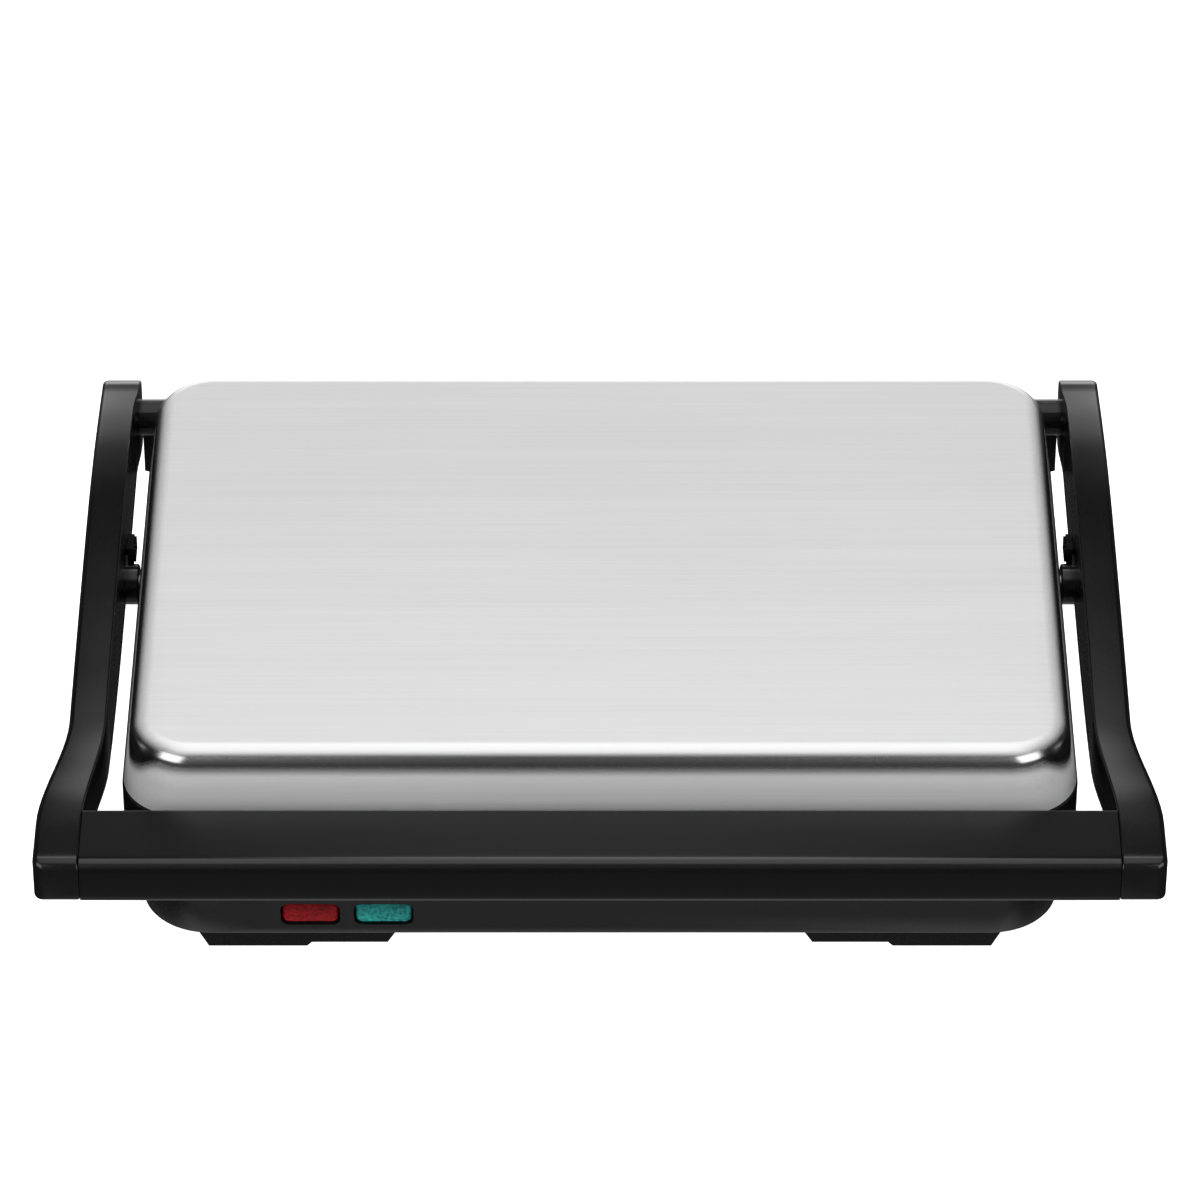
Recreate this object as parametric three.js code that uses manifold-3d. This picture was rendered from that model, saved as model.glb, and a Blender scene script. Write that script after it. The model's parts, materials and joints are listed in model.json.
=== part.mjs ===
// A two-slice panini press: a base with a ribbed plate, a floating lid with its own plate, and a bail
// handle that turns on two posts at the rear. Millimetres, +Z up, -Y to the front, the table at Z = 0.
import * as THREE from "three";
import { mergeVertices } from "three/addons/utils/BufferGeometryUtils.js";
import Module from "manifold-3d";

// ---- Driving dimensions ------------------------------------------------------------------------------

const seatGap = 0.3; // between two pieces that touch on the real object
const wall = 2.2; // moulded plastic
const sheet = 0.9; // formed sheet metal

// Plan of the press: the lid rim, on which the base and the plates depend.
const rimWidth = 250.8;
const rimDepth = 171.5;
const rimCentreY = 4.75;
const rimCorner = 17;

// Heights, from the table up.
const footHeight = 8.8;
const padHeight = 1.4;
const baseHeight = 28.7;
const partingGap = 1;
const frameHeight = 15.5;
const coverHeight = 20.7;

// Base
const baseTopInset = 0.4; // the base's top edge stands inside the lid rim
const baseTaper = 3.2; // how much narrower the base is at its foot, each side
const baseEndTaper = 6.7; // the same at its front and rear
const ledgeReach = 4;
const ledgeDrop = 1.7;

// Lid cover
const coverInset = 0.4;
const coverSideDraft = 2.1;
const coverEndDraft = 0.2;
const coverFillet = 5.5;

// Grill plates
const plateThickness = 3;
const ribPitch = 10;
const ribWidth = 5.2;
const ribTopWidth = 3.2;
const ribHeight = 4.2;
const ribCount = 22;
const plateGap = 0.7; // between the two sets of ribs when the press is shut
const plateRim = 3.4;
const greaseChannel = 9;

// Heating elements
const elementRadius = 3.2;
const elementBend = 34;
const elementSideRoom = 41; // from the plate's side to the element
const elementRearRoom = 25; // from the plate's rear to the element's ends
const postRadius = 3.6;
const postLength = 9;
const postSideRoom = 25.4; // from the plate's side to its screw posts
const postEndRoom = 32.4;

// Bail handle
const armThickness = 9.8;
const armGap = 4.4; // lid rim to the arm's inner face
const armFlareOut = 6.6;
const armFlareIn = 4.5;
const flareLength = 38;
const flareAhead = 9; // how far before the lid rim the flare ends
const armEdgeRound = 1.5;
const armEndRadius = 10.5;
const armInnerRound = 0.6;
const armRim = 1.8; // the wall left round the arm's inner cover
const armCoverThickness = 2;
const barDepth = 21.8;
const barHeight = 14.1;
const barBottomZ = 47.4;
const handleGap = 4.7; // between the lid rim and the bar
const barTopRound = 2.8;
const barSmallRound = 1.6;
const frontCornerRound = 3.2;
const tongueLength = 7;

// Pivots
const hingeBehind = 6.5; // behind the lid rim
const hingeZ = 54;
const hubRadius = 5.2;
const gussetDrop = 17.5; // from the hinge's axis to the foot of the web at its outer end
const hingePinRadius = 2.3;
const hingePinHead = 4;
const lidPivotBehind = 24.25; // behind the middle of the rim
const lidPivotZ = 47;
const pivotBossRadius = 5.6;
const lidPinRadius = 2.5;
const pinClearance = 0.3;
const bossRunning = 0.6; // between the arm's boss and the lid frame
const postSideInset = 13.4; // from the lid rim's side to the post
const postThickness = 14;
const padProud = 1.2; // the pads on the rear wall that the posts bolt to

// Lock slides on the arms
const slideTravel = 4;
const knobLength = 7;
const knobHeight = 5;
const knobProud = 2.3;
const knobBehind = 6.3; // behind the lid's pivot
const knobBottomZ = 49.2;
const knobRibs = 4;

// Lamps in the front wall
const lensWidth = 14.8;
const lensHeight = 8.2;
const lensCorner = 2;
const lensDepth = 5;
const lensRecess = 0.4;
const lensCentreZ = 17.2;
const redLensX = -76.6;
const lensPitch = 19.4;
const neonRadius = 2.2;

// Feet
const footSideInset = 17.2; // from the lid rim's side
const footLength = 51.7;
const footBevel = 4;
const footDepth = 16;
const footInset = 3.9; // behind the base's front or rear bottom edge
const padLength = 24.2;
const footTierRise = 1.3; // the inner end of each foot stands this much higher

// Cord inlet in the rear wall
const inletX = 0;
const inletZ = 20;
const inletBossProud = 2.4; // its flat face stands clear of the sloping wall
const cordRadius = 3.2;
const bushingRadius = 5.4;
const bushingFlange = 7.6;

// Screws
const screwRadius = 1.5;
const screwHeadRadius = 3;
const screwHeadHeight = 1.6;
const bossRadius = 4; // the housing's bosses for the bottom screws
const bossHeight = 7.5;
const bossEndInset = 43.75; // from the lid rim's front or rear
const edgeBreak = 0.9; // small rounding of moulded edges

// Electrical parts in the base
const thermostatRadius = 7;
const thermostatHeight = 5;
const thermostatEar = 13;
const fuseRadius = 2;
const fuseLength = 16;
const fuseBehind = 24; // behind the thermostat
const terminalWidth = 36;
const terminalDepth = 10;
const terminalHeight = 7;
const terminalPitch = 12;
const terminalRearRoom = 12;
const holderDepth = 8;
const holderWall = 1;
const holderGap = 1.2; // between a lens and its cell

// ---- Derived levels and lines ------------------------------------------------------------------------

const baseBottomZ = footHeight;
const baseTopZ = baseBottomZ + baseHeight;
const frameBottomZ = baseTopZ + partingGap;
const frameTopZ = frameBottomZ + frameHeight;
const coverBottomZ = frameTopZ + seatGap;
const lidTopZ = coverBottomZ + coverHeight;
const rimHalf = rimWidth / 2;
const rimHalfDepth = rimDepth / 2;
const rimFrontY = rimCentreY - rimHalfDepth;
const rimRearY = rimCentreY + rimHalfDepth;
const armInnerX = rimHalf + armGap;
const armOuterX = armInnerX + armThickness;
const barTopZ = barBottomZ + barHeight;
const barRearY = rimFrontY - handleGap;
const barFrontY = barRearY - barDepth;
const flareEndY = rimFrontY - flareAhead;
const flareStartY = flareEndY + flareLength;
const hingeY = rimRearY + hingeBehind;
const lidPivotY = rimCentreY + lidPivotBehind;
const postInnerX = rimHalf - postSideInset;
const knobFrontY = lidPivotY + knobBehind;
const footOuterX = rimHalf - footSideInset;
const footInnerX = footOuterX - footLength;
const padOuterX = footOuterX - footBevel - 1;
const armCoverFrontY = flareStartY + 7;
const armCoverRearY = hingeY - 15;
const partingZ = baseTopZ + partingGap / 2;
const lowerRibTopZ = partingZ - plateGap / 2;
const upperRibTopZ = partingZ + plateGap / 2;

// ---- Joining and cutting -----------------------------------------------------------------------------

const wasm = await Module();
wasm.setup();

function solidOf(geometry) {
  const bare = geometry.clone();
  bare.deleteAttribute("normal");
  bare.deleteAttribute("uv");
  const merged = mergeVertices(bare, 1e-4);
  return new wasm.Manifold(
    new wasm.Mesh({
      numProp: 3,
      vertProperties: merged.attributes.position.array,
      triVerts: new Uint32Array(merged.index.array),
    }),
  );
}

function geometryOf(solid) {
  const mesh = solid.getMesh();
  const indexed = new THREE.BufferGeometry();
  indexed.setAttribute("position", new THREE.BufferAttribute(new Float32Array(mesh.vertProperties), 3));
  indexed.setIndex(new THREE.BufferAttribute(new Uint32Array(mesh.triVerts), 1));
  const flat = indexed.toNonIndexed();
  flat.computeVertexNormals();
  return flat;
}

const join = (first, ...others) =>
  geometryOf(others.reduce((sum, other) => sum.add(solidOf(other)), solidOf(first)));

const cut = (first, ...others) =>
  geometryOf(others.reduce((rest, other) => rest.subtract(solidOf(other)), solidOf(first)));

// ---- Basic forms -------------------------------------------------------------------------------------

const lerp = THREE.MathUtils.lerp;

function block(x0, x1, y0, y1, z0, z1) {
  const box = new THREE.BoxGeometry(x1 - x0, y1 - y0, z1 - z0);
  return box.translate((x0 + x1) / 2, (y0 + y1) / 2, (z0 + z1) / 2);
}

function rodX(radius, x0, x1, y, z, sides = 16) {
  const rod = new THREE.CylinderGeometry(radius, radius, x1 - x0, sides);
  return rod.rotateZ(-Math.PI / 2).translate((x0 + x1) / 2, y, z);
}

function rodY(radius, y0, y1, x, z, sides = 20) {
  const rod = new THREE.CylinderGeometry(radius, radius, y1 - y0, sides);
  return rod.translate(x, (y0 + y1) / 2, z);
}

function rodZ(radius, z0, z1, x, y, sides = 10) {
  const rod = new THREE.CylinderGeometry(radius, radius, z1 - z0, sides);
  return rod.rotateX(Math.PI / 2).translate(x, y, (z0 + z1) / 2);
}

function mirrored(geometry) {
  const other = geometry.index ? geometry.toNonIndexed() : geometry.clone();
  other.scale(-1, 1, 1);
  const position = other.attributes.position;
  for (let i = 0; i < position.count; i += 3) {
    const b = [position.getX(i + 1), position.getY(i + 1), position.getZ(i + 1)];
    position.setXYZ(i + 1, position.getX(i + 2), position.getY(i + 2), position.getZ(i + 2));
    position.setXYZ(i + 2, ...b);
  }
  other.computeVertexNormals();
  return other;
}

function roundedRect(width, height, radius) {
  const x = width / 2;
  const y = height / 2;
  const r = Math.min(radius, x * 0.98, y * 0.98);
  const shape = new THREE.Shape();
  shape.moveTo(x, -y + r);
  shape.lineTo(x, y - r);
  shape.absarc(x - r, y - r, r, 0, Math.PI / 2, false);
  shape.lineTo(-x + r, y);
  shape.absarc(-x + r, y - r, r, Math.PI / 2, Math.PI, false);
  shape.lineTo(-x, -y + r);
  shape.absarc(-x + r, -y + r, r, Math.PI, 1.5 * Math.PI, false);
  shape.lineTo(x - r, -y);
  shape.absarc(x - r, -y + r, r, 1.5 * Math.PI, 2 * Math.PI, false);
  return shape;
}

function extrude(shape, depth, curveSegments = 6) {
  return new THREE.ExtrudeGeometry(shape, { depth, bevelEnabled: false, curveSegments });
}

// A side profile drawn as (Y, Z), extruded from x0 to x1.
function sideExtrude(shape, x0, x1, curveSegments) {
  const turn = new THREE.Matrix4().makeBasis(
    new THREE.Vector3(0, 1, 0),
    new THREE.Vector3(0, 0, 1),
    new THREE.Vector3(1, 0, 0),
  );
  return extrude(shape, x1 - x0, curveSegments).applyMatrix4(turn).translate(x0, 0, 0);
}

// One level of a rounded rectangle in plan, as points that run anticlockwise.
function planRing(halfX, halfY, corner, z, centreY = rimCentreY, steps = 4) {
  const r = Math.min(corner, halfX * 0.98, halfY * 0.98);
  const points = [];
  for (let quarter = 0; quarter < 4; quarter++) {
    const signX = quarter === 0 || quarter === 3 ? 1 : -1;
    const signY = quarter < 2 ? 1 : -1;
    for (let i = 0; i <= steps; i++) {
      const angle = ((quarter + i / steps) * Math.PI) / 2;
      points.push(
        new THREE.Vector3(
          signX * (halfX - r) + r * Math.cos(angle),
          centreY + signY * (halfY - r) + r * Math.sin(angle),
          z,
        ),
      );
    }
  }
  return points;
}

// The body between rings of equal point count. An open loft is capped at both ends; a closed one joins
// its last ring to its first, like a picture frame's moulding.
function loft(rings, closed = false) {
  const count = rings[0].length;
  const corners = [];
  const face = (a, b, c) => corners.push(...a.toArray(), ...b.toArray(), ...c.toArray());
  const spans = closed ? rings.length : rings.length - 1;
  for (let k = 0; k < spans; k++) {
    const low = rings[k];
    const high = rings[(k + 1) % rings.length];
    for (let i = 0; i < count; i++) {
      const j = (i + 1) % count;
      face(low[i], low[j], high[j]);
      face(low[i], high[j], high[i]);
    }
  }
  const centreOf = (ring) =>
    ring.reduce((sum, point) => sum.add(point), new THREE.Vector3()).divideScalar(count);
  if (!closed) {
    const first = rings[0];
    const last = rings[rings.length - 1];
    const foot = centreOf(first);
    const head = centreOf(last);
    for (let i = 0; i < count; i++) {
      const j = (i + 1) % count;
      face(first[j], first[i], foot);
      face(last[i], last[j], head);
    }
  }
  const geometry = new THREE.BufferGeometry();
  geometry.setAttribute("position", new THREE.Float32BufferAttribute(corners, 3));
  geometry.computeVertexNormals();
  return geometry;
}

// Quarter-round offsets from an edge: how far in and how far up each step of a fillet lies.
function filletSteps(radius, steps = 4) {
  return Array.from({ length: steps + 1 }, (_, i) => {
    const angle = (i / steps) * (Math.PI / 2);
    return { inward: radius * (1 - Math.cos(angle)), up: radius * Math.sin(angle) };
  });
}

// ---- Base --------------------------------------------------------------------------------------------

// Half sizes of the base's outer faces at a height: it narrows towards the table.
function baseOutline(z, inset = 0) {
  const share = (baseTopZ - z) / baseHeight;
  const side = baseTopInset + baseTaper * share + inset;
  const end = baseTopInset + baseEndTaper * share + inset;
  return { halfX: rimHalf - side, halfY: rimHalfDepth - end, corner: rimCorner + share - inset };
}

function baseRing(z, inset) {
  const { halfX, halfY, corner } = baseOutline(z, inset);
  return planRing(halfX, halfY, corner, z);
}

const frontFaceY = (z) => rimCentreY - baseOutline(z).halfY;
const rearFaceY = (z) => rimCentreY + baseOutline(z).halfY;
const wallSlope = Math.atan2(frontFaceY(baseBottomZ) - frontFaceY(baseTopZ), baseHeight);

const ledgeTopZ = baseTopZ - ledgeDrop;
const ledgeBottomZ = ledgeTopZ - wall;

// A block shaped to stand in a lens's window, turned to the slope of the front wall.
function lensBlock(x, grow, outward, depth) {
  const shape = roundedRect(lensWidth + 2 * grow, lensHeight + 2 * grow, lensCorner + grow);
  const prism = extrude(shape, depth, 4).translate(0, 0, -outward);
  prism.rotateX(-Math.PI / 2 + wallSlope);
  prism.translate(x, frontFaceY(lensCentreZ), lensCentreZ);
  return prism;
}

const lensXs = [redLensX, redLensX + lensPitch];

function baseHousing() {
  const shell = loft(
    [
      baseRing(baseBottomZ, wall),
      baseRing(baseBottomZ, edgeBreak),
      baseRing(baseBottomZ + edgeBreak, 0),
      baseRing(baseTopZ - edgeBreak, 0),
      baseRing(baseTopZ, edgeBreak),
      baseRing(baseTopZ, wall),
      baseRing(ledgeTopZ, wall),
      baseRing(ledgeTopZ, wall + ledgeReach),
      baseRing(ledgeBottomZ, wall + ledgeReach),
      baseRing(ledgeBottomZ - ledgeReach / 2, wall),
    ],
    true,
  );
  const windows = lensXs.map((x) => lensBlock(x, seatGap, 3, 3 + wall * 2));
  const rearY = rearFaceY(inletZ);
  const inletBoss = rodY(bushingFlange + 1, rearY - wall, rearY + inletBossProud, inletX, inletZ, 24);
  const inlet = rodY(bushingRadius + seatGap, rearY - 3 * wall, rearY + 2 * wall, inletX, inletZ);
  const solid = join(shell, inletBoss, ...coverBosses(), ...postPads());
  return cut(solid, ...windows, inlet, ...coverScrewHoles());
}

// Bosses in the corners of the housing, which the bottom cover is screwed to.
const coverPlateTopZ = baseBottomZ + wall + seatGap;
const bossX = rimHalf - baseTaper - rimCorner;
const bossYs = [rimFrontY + bossEndInset, rimRearY - bossEndInset];
const bossPlaces = [-bossX, bossX].flatMap((x) => bossYs.map((y) => [x, y]));

function coverBosses() {
  const topZ = coverPlateTopZ + seatGap + bossHeight;
  return bossPlaces.flatMap(([x, y]) => {
    const outX = Math.sign(x) * (rimHalf - baseTaper - wall / 2);
    return [
      rodZ(bossRadius, coverPlateTopZ + seatGap, topZ, x, y),
      block(Math.min(x, outX), Math.max(x, outX), y - 1, y + 1, coverPlateTopZ + seatGap, topZ),
    ];
  });
}

const coverScrewHoles = () =>
  bossPlaces.map(([x, y]) => rodZ(screwRadius + seatGap, baseBottomZ, coverPlateTopZ + bossHeight - 2, x, y));

// Flat pads on the rear wall that the hinge posts bolt to.
const padTopZ = ledgeBottomZ;
const padBottomZ = baseBottomZ + 10;
const padFaceY = rearFaceY(padTopZ) + padProud;

function postPads() {
  return [-1, 1].map((side) => {
    const near = side * postInnerX;
    const far = side * (postInnerX - postThickness);
    const rootY = rearFaceY(padBottomZ) - wall;
    return block(Math.min(near, far), Math.max(near, far), rootY, padFaceY, padBottomZ, padTopZ);
  });
}

// The floor of the base, with the four foot blocks moulded on.
function bottomCover() {
  const inset = wall + seatGap;
  const plate = loft([baseRing(baseBottomZ, inset), baseRing(coverPlateTopZ, inset)]);
  const feet = footPlaces.map(({ side, y }) => footBlock(side, y));
  const recesses = footPlaces.map(({ side, y }) => padBlock(side, y, seatGap, padHeight * 2 + seatGap));
  const slots = ventSlots();
  return cut(join(plate, ...feet), ...recesses, ...slots, ...counterbores());
}

const footYs = [frontFaceY(baseBottomZ) + footInset, rearFaceY(baseBottomZ) - footInset - footDepth];
const footPlaces = [-1, 1].flatMap((side) => footYs.map((y) => ({ side, y })));

function footBlock(side, y) {
  const shape = new THREE.Shape();
  const tierX = padOuterX - padLength - 1;
  shape.moveTo(footInnerX, padHeight + footTierRise);
  shape.lineTo(tierX - footTierRise, padHeight + footTierRise);
  shape.lineTo(tierX, padHeight);
  shape.lineTo(footOuterX - footBevel, padHeight);
  shape.lineTo(footOuterX, baseBottomZ + 0.5);
  shape.lineTo(footInnerX - footBevel, baseBottomZ + 0.5);
  // Drawn as (X, Z) and extruded towards the front.
  const body = extrude(shape, footDepth).rotateX(Math.PI / 2).translate(0, y + footDepth, 0);
  return side > 0 ? body : mirrored(body);
}

function padBlock(side, y, grow, topZ) {
  const shape = roundedRect(padLength + 2 * grow, footDepth - 4 + 2 * grow, 3);
  return extrude(shape, topZ, 2).translate(side * (padOuterX - padLength / 2), y + footDepth / 2, 0);
}

function ventSlots() {
  return [-2, -1, 0, 1, 2].map((k) =>
    extrude(roundedRect(44, 4, 2), 3 * wall, 2).translate(0, rimCentreY + k * 12, baseBottomZ - wall),
  );
}

const counterbores = () =>
  bossPlaces.flatMap(([x, y]) => [
    rodZ(screwRadius + seatGap, baseBottomZ - 1, coverPlateTopZ + 1, x, y),
    rodZ(screwHeadRadius + seatGap, baseBottomZ - 1, baseBottomZ + screwHeadHeight / 2 + seatGap, x, y),
  ]);

function screw(length) {
  const z = [0, 0, screwHeadHeight * 0.5, screwHeadHeight, screwHeadHeight];
  const r = [0, screwHeadRadius * 0.8, screwHeadRadius, screwHeadRadius, screwRadius];
  const profile = z.map((level, i) => new THREE.Vector2(r[i], level));
  profile.push(new THREE.Vector2(screwRadius, length), new THREE.Vector2(0, length));
  return new THREE.LatheGeometry(profile, 8).rotateX(Math.PI / 2);
}

// A post behind the lid: its foot bolts to the rear wall, its hub carries the handle's hinge pin.
function hingePost() {
  const frontY = padFaceY + seatGap;
  const rearY = hingeY + hubRadius;
  const shape = new THREE.Shape();
  shape.moveTo(frontY, padBottomZ);
  shape.lineTo(frontY + wall * 2, padBottomZ);
  shape.lineTo(rearY, padBottomZ + (rearY - frontY));
  shape.lineTo(rearY, hingeZ);
  shape.absarc(hingeY, hingeZ, hubRadius, 0, Math.PI, false);
  shape.lineTo(hingeY - hubRadius, padTopZ + wall);
  shape.lineTo(frontY, padTopZ);
  const post = sideExtrude(shape, postInnerX - postThickness, postInnerX, 10);
  const hub = rodX(hubRadius, postInnerX - 1, armInnerX - seatGap, hingeY, hingeZ, 28);
  const gusset = hubGusset();
  const boreRadius = hingePinRadius + pinClearance;
  const bore = rodX(boreRadius, postInnerX - postThickness - 1, armInnerX + 1, hingeY, hingeZ);
  const headRoom = rodX(
    hingePinHead + pinClearance,
    postInnerX - postThickness - 1,
    postInnerX - postThickness + 2 + seatGap,
    hingeY,
    hingeZ,
  );
  return cut(join(post, hub, gusset), bore, headRoom);
}

// The web under the hub, deepest at the post and running out towards the arm.
function hubGusset() {
  const shape = new THREE.Shape();
  shape.moveTo(postInnerX - 1, hingeZ - gussetDrop - 5);
  shape.lineTo(armInnerX - seatGap - 1, hingeZ - gussetDrop);
  shape.lineTo(armInnerX - seatGap - 1, hingeZ);
  shape.lineTo(postInnerX - 1, hingeZ);
  // Drawn as (X, Z) and extruded towards the front.
  return extrude(shape, 3).rotateX(Math.PI / 2).translate(0, hingeY + 1.5, 0);
}

function hingePin() {
  const innerX = postInnerX - postThickness + seatGap;
  const profile = [
    [0, 0],
    [hingePinHead, 0],
    [hingePinHead, 2 - seatGap],
    [hingePinRadius, 2 - seatGap],
    [hingePinRadius, armInnerX + armThickness * 0.7 - innerX],
    [0, armInnerX + armThickness * 0.7 - innerX],
  ].map(([r, along]) => new THREE.Vector2(r, along));
  return new THREE.LatheGeometry(profile, 18).rotateZ(-Math.PI / 2).translate(innerX, hingeY, hingeZ);
}

// ---- Grill plates ------------------------------------------------------------------------------------

// A ribbed plate seen with its ribs up. Its flange rests on a ledge; ribTopZ is the tips' level.
const plateFloorZ = lowerRibTopZ - ribHeight;
const plateSeat = baseOutline(ledgeTopZ, wall + seatGap);
const plateHalfX = plateSeat.halfX;
const plateHalfY = plateSeat.halfY;
const plateBodyInset = ledgeReach + 1.6;
const plateCorner = rimCorner - wall;

function plateRing(inset, z) {
  return planRing(plateHalfX - inset, plateHalfY - inset, plateCorner - inset, z);
}

function grillRib(x) {
  const halfLength = plateHalfY - plateBodyInset - greaseChannel - 3;
  const low = plateFloorZ - 0.5;
  const ring = (halfWidth, halfY, z) => [
    new THREE.Vector3(x + halfWidth, rimCentreY - halfY, z),
    new THREE.Vector3(x + halfWidth, rimCentreY + halfY, z),
    new THREE.Vector3(x - halfWidth, rimCentreY + halfY, z),
    new THREE.Vector3(x - halfWidth, rimCentreY - halfY, z),
  ];
  return loft([ring(ribWidth / 2, halfLength, low), ring(ribTopWidth / 2, halfLength - 3, lowerRibTopZ)]);
}

// Where the tubular element lies under the plate: a long U, open to the rear.
const elementZ = plateFloorZ - plateThickness - elementRadius - seatGap;
const elementHalfSpan = plateHalfX - elementSideRoom;
const elementRearY = rimCentreY + plateHalfY - elementRearRoom;
const postX = plateHalfX - postSideRoom;
const postY = plateHalfY - postEndRoom;
const postPlaces = [-postX, postX].flatMap((x) => [
  [x, rimCentreY - postY],
  [x, rimCentreY + postY],
]);
const postBottomZ = plateFloorZ - plateThickness - postLength;

function grillPlate() {
  const body = loft([
    plateRing(plateBodyInset, plateFloorZ - plateThickness),
    plateRing(plateBodyInset, ledgeTopZ + seatGap),
    plateRing(0, ledgeTopZ + seatGap),
    plateRing(0, baseTopZ),
  ]);
  const dish = loft([
    plateRing(plateBodyInset + plateRim, plateFloorZ),
    plateRing(plateBodyInset + plateRim - 1, baseTopZ + 1),
  ]);
  const channelDepth = plateThickness * 0.45;
  const channelInset = plateBodyInset + plateRim + 0.5;
  const channel = loft(
    [
      plateRing(channelInset, plateFloorZ - channelDepth),
      plateRing(channelInset, plateFloorZ + 1),
      plateRing(channelInset + greaseChannel - 3, plateFloorZ + 1),
      plateRing(channelInset + greaseChannel - 3, plateFloorZ - channelDepth),
    ],
    true,
  );
  const ribs = Array.from({ length: ribCount }, (_, i) => grillRib((i - (ribCount - 1) / 2) * ribPitch));
  const posts = postPlaces.map(([x, y]) => rodZ(postRadius, postBottomZ, plateFloorZ - 1, x, y, 12));
  const holes = postPlaces.map(([x, y]) =>
    rodZ(screwRadius + seatGap, postBottomZ - 1, postBottomZ + 6, x, y, 10),
  );
  return cut(join(cut(body, dish, channel), ...ribs, ...posts), ...holes);
}

// The same casting serves above and below: the upper one is turned over about the parting level.
function turnedOver(geometry) {
  return geometry.translate(0, 0, -partingZ).rotateY(Math.PI).translate(0, 0, partingZ);
}

function heatingElement() {
  const frontY = rimCentreY - elementHalfSpan * 0.55;
  const path = new THREE.CurvePath();
  const point = (x, y, z = elementZ) => new THREE.Vector3(x, y, z);
  const half = elementHalfSpan;
  const bend = elementBend;
  path.add(new THREE.LineCurve3(point(-half, elementRearY), point(-half, frontY + bend)));
  path.add(
    new THREE.CubicBezierCurve3(
      point(-half, frontY + bend),
      point(-half, frontY + bend * 0.45),
      point(-half + bend * 0.55, frontY),
      point(-half + bend, frontY),
    ),
  );
  path.add(new THREE.LineCurve3(point(-half + bend, frontY), point(half - bend, frontY)));
  path.add(
    new THREE.CubicBezierCurve3(
      point(half - bend, frontY),
      point(half - bend * 0.55, frontY),
      point(half, frontY + bend * 0.45),
      point(half, frontY + bend),
    ),
  );
  path.add(new THREE.LineCurve3(point(half, frontY + bend), point(half, elementRearY)));
  const section = new THREE.Shape().absarc(0, 0, elementRadius, 0, 2 * Math.PI, false);
  return new THREE.ExtrudeGeometry(section, {
    steps: 22,
    bevelEnabled: false,
    extrudePath: path,
    curveSegments: 4,
  });
}

// A shallow tray of aluminised sheet that closes the element in.
function heatReflector() {
  const topZ = postBottomZ - seatGap;
  const foot = plateBodyInset + 8;
  const lip = plateBodyInset + 6.5;
  const tray = loft([plateRing(foot, topZ - sheet), plateRing(lip, elementZ)]);
  const hollow = loft([plateRing(foot + sheet, topZ), plateRing(lip + sheet, elementZ + 0.5)]);
  const holes = postPlaces.map(([x, y]) => rodZ(screwRadius + seatGap, topZ - 2, topZ + 1, x, y, 10));
  return cut(tray, hollow, ...holes);
}
const reflectorBottomZ = postBottomZ - seatGap - sheet;

// ---- Electrical parts in the base --------------------------------------------------------------------

const plateUnderZ = plateFloorZ - plateThickness - seatGap;

function thermostat() {
  const radius = thermostatRadius;
  const canZ = plateUnderZ - thermostatHeight;
  const can = rodZ(radius, canZ, plateUnderZ, 0, rimCentreY, 20);
  const earY = radius * 0.43;
  const ears = block(
    -thermostatEar,
    thermostatEar,
    rimCentreY - earY,
    rimCentreY + earY,
    plateUnderZ - 1.2,
    plateUnderZ,
  );
  const tabs = [-radius / 2, radius / 2].map((x) =>
    block(x - 0.5, x + 0.5, rimCentreY - 2, rimCentreY + 2, canZ - radius / 2, canZ + 0.5),
  );
  return join(can, ears, ...tabs);
}

function thermalFuse() {
  const y = rimCentreY + fuseBehind;
  const clipReach = fuseRadius + 2.5;
  const clip = block(-3, 3, y - clipReach, y + clipReach, plateUnderZ - 1, plateUnderZ);
  const body = rodX(fuseRadius, -fuseLength / 2, fuseLength / 2, y, plateUnderZ - fuseRadius - 0.4, 12);
  return join(body, clip);
}

function terminalBlock() {
  const rearY = rearFaceY(inletZ) - wall - terminalRearRoom;
  const frontY = rearY - terminalDepth;
  const floorZ = coverPlateTopZ + seatGap;
  const topZ = floorZ + terminalHeight;
  const body = block(-terminalWidth / 2, terminalWidth / 2, frontY, rearY, floorZ, topZ);
  const wells = [-terminalPitch, 0, terminalPitch].map((x) =>
    rodZ(screwRadius + 0.7, topZ - 3, topZ + 1, x, (frontY + rearY) / 2, 10),
  );
  return cut(body, ...wells);
}

function cordBushing() {
  const outerY = rearFaceY(inletZ);
  const innerY = outerY - wall - 1.6;
  const seatY = outerY + inletBossProud + seatGap;
  const flange = rodY(bushingFlange, seatY, seatY + 2.2, inletX, inletZ, 24);
  const sleeve = rodY(bushingRadius, innerY - 5, seatY + 1, inletX, inletZ, 24);
  const bore = rodY(cordRadius, innerY - 8, seatY + 5, inletX, inletZ, 20);
  return cut(join(flange, sleeve), bore);
}

const lens = (x) => lensBlock(x, 0, -lensRecess, lensDepth);

const holderFrontY = frontFaceY(lensCentreZ) + lensRecess + lensDepth + holderGap;
const cellFloorZ = coverPlateTopZ + seatGap + 2;

function lampHolder() {
  const centreX = redLensX + lensPitch / 2;
  const halfX = lensPitch / 2 + lensWidth / 2;
  const topZ = lensCentreZ + 2.6;
  const body = block(
    centreX - halfX,
    centreX + halfX,
    holderFrontY,
    holderFrontY + holderDepth,
    coverPlateTopZ + seatGap,
    topZ,
  );
  const cells = lensXs.map((x) =>
    block(
      x - lensWidth / 2 + holderWall,
      x + lensWidth / 2 - holderWall,
      holderFrontY - 1,
      holderFrontY + holderDepth - 1.5,
      cellFloorZ,
      topZ + 1,
    ),
  );
  return cut(body, ...cells);
}

function neonLamp(x) {
  const z = cellFloorZ + neonRadius + seatGap;
  const half = lensWidth / 2 - holderWall - 0.9;
  return rodX(neonRadius, x - half, x + half, holderFrontY + neonRadius + 1.4, z, 12);
}

// ---- Lid ---------------------------------------------------------------------------------------------

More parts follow.
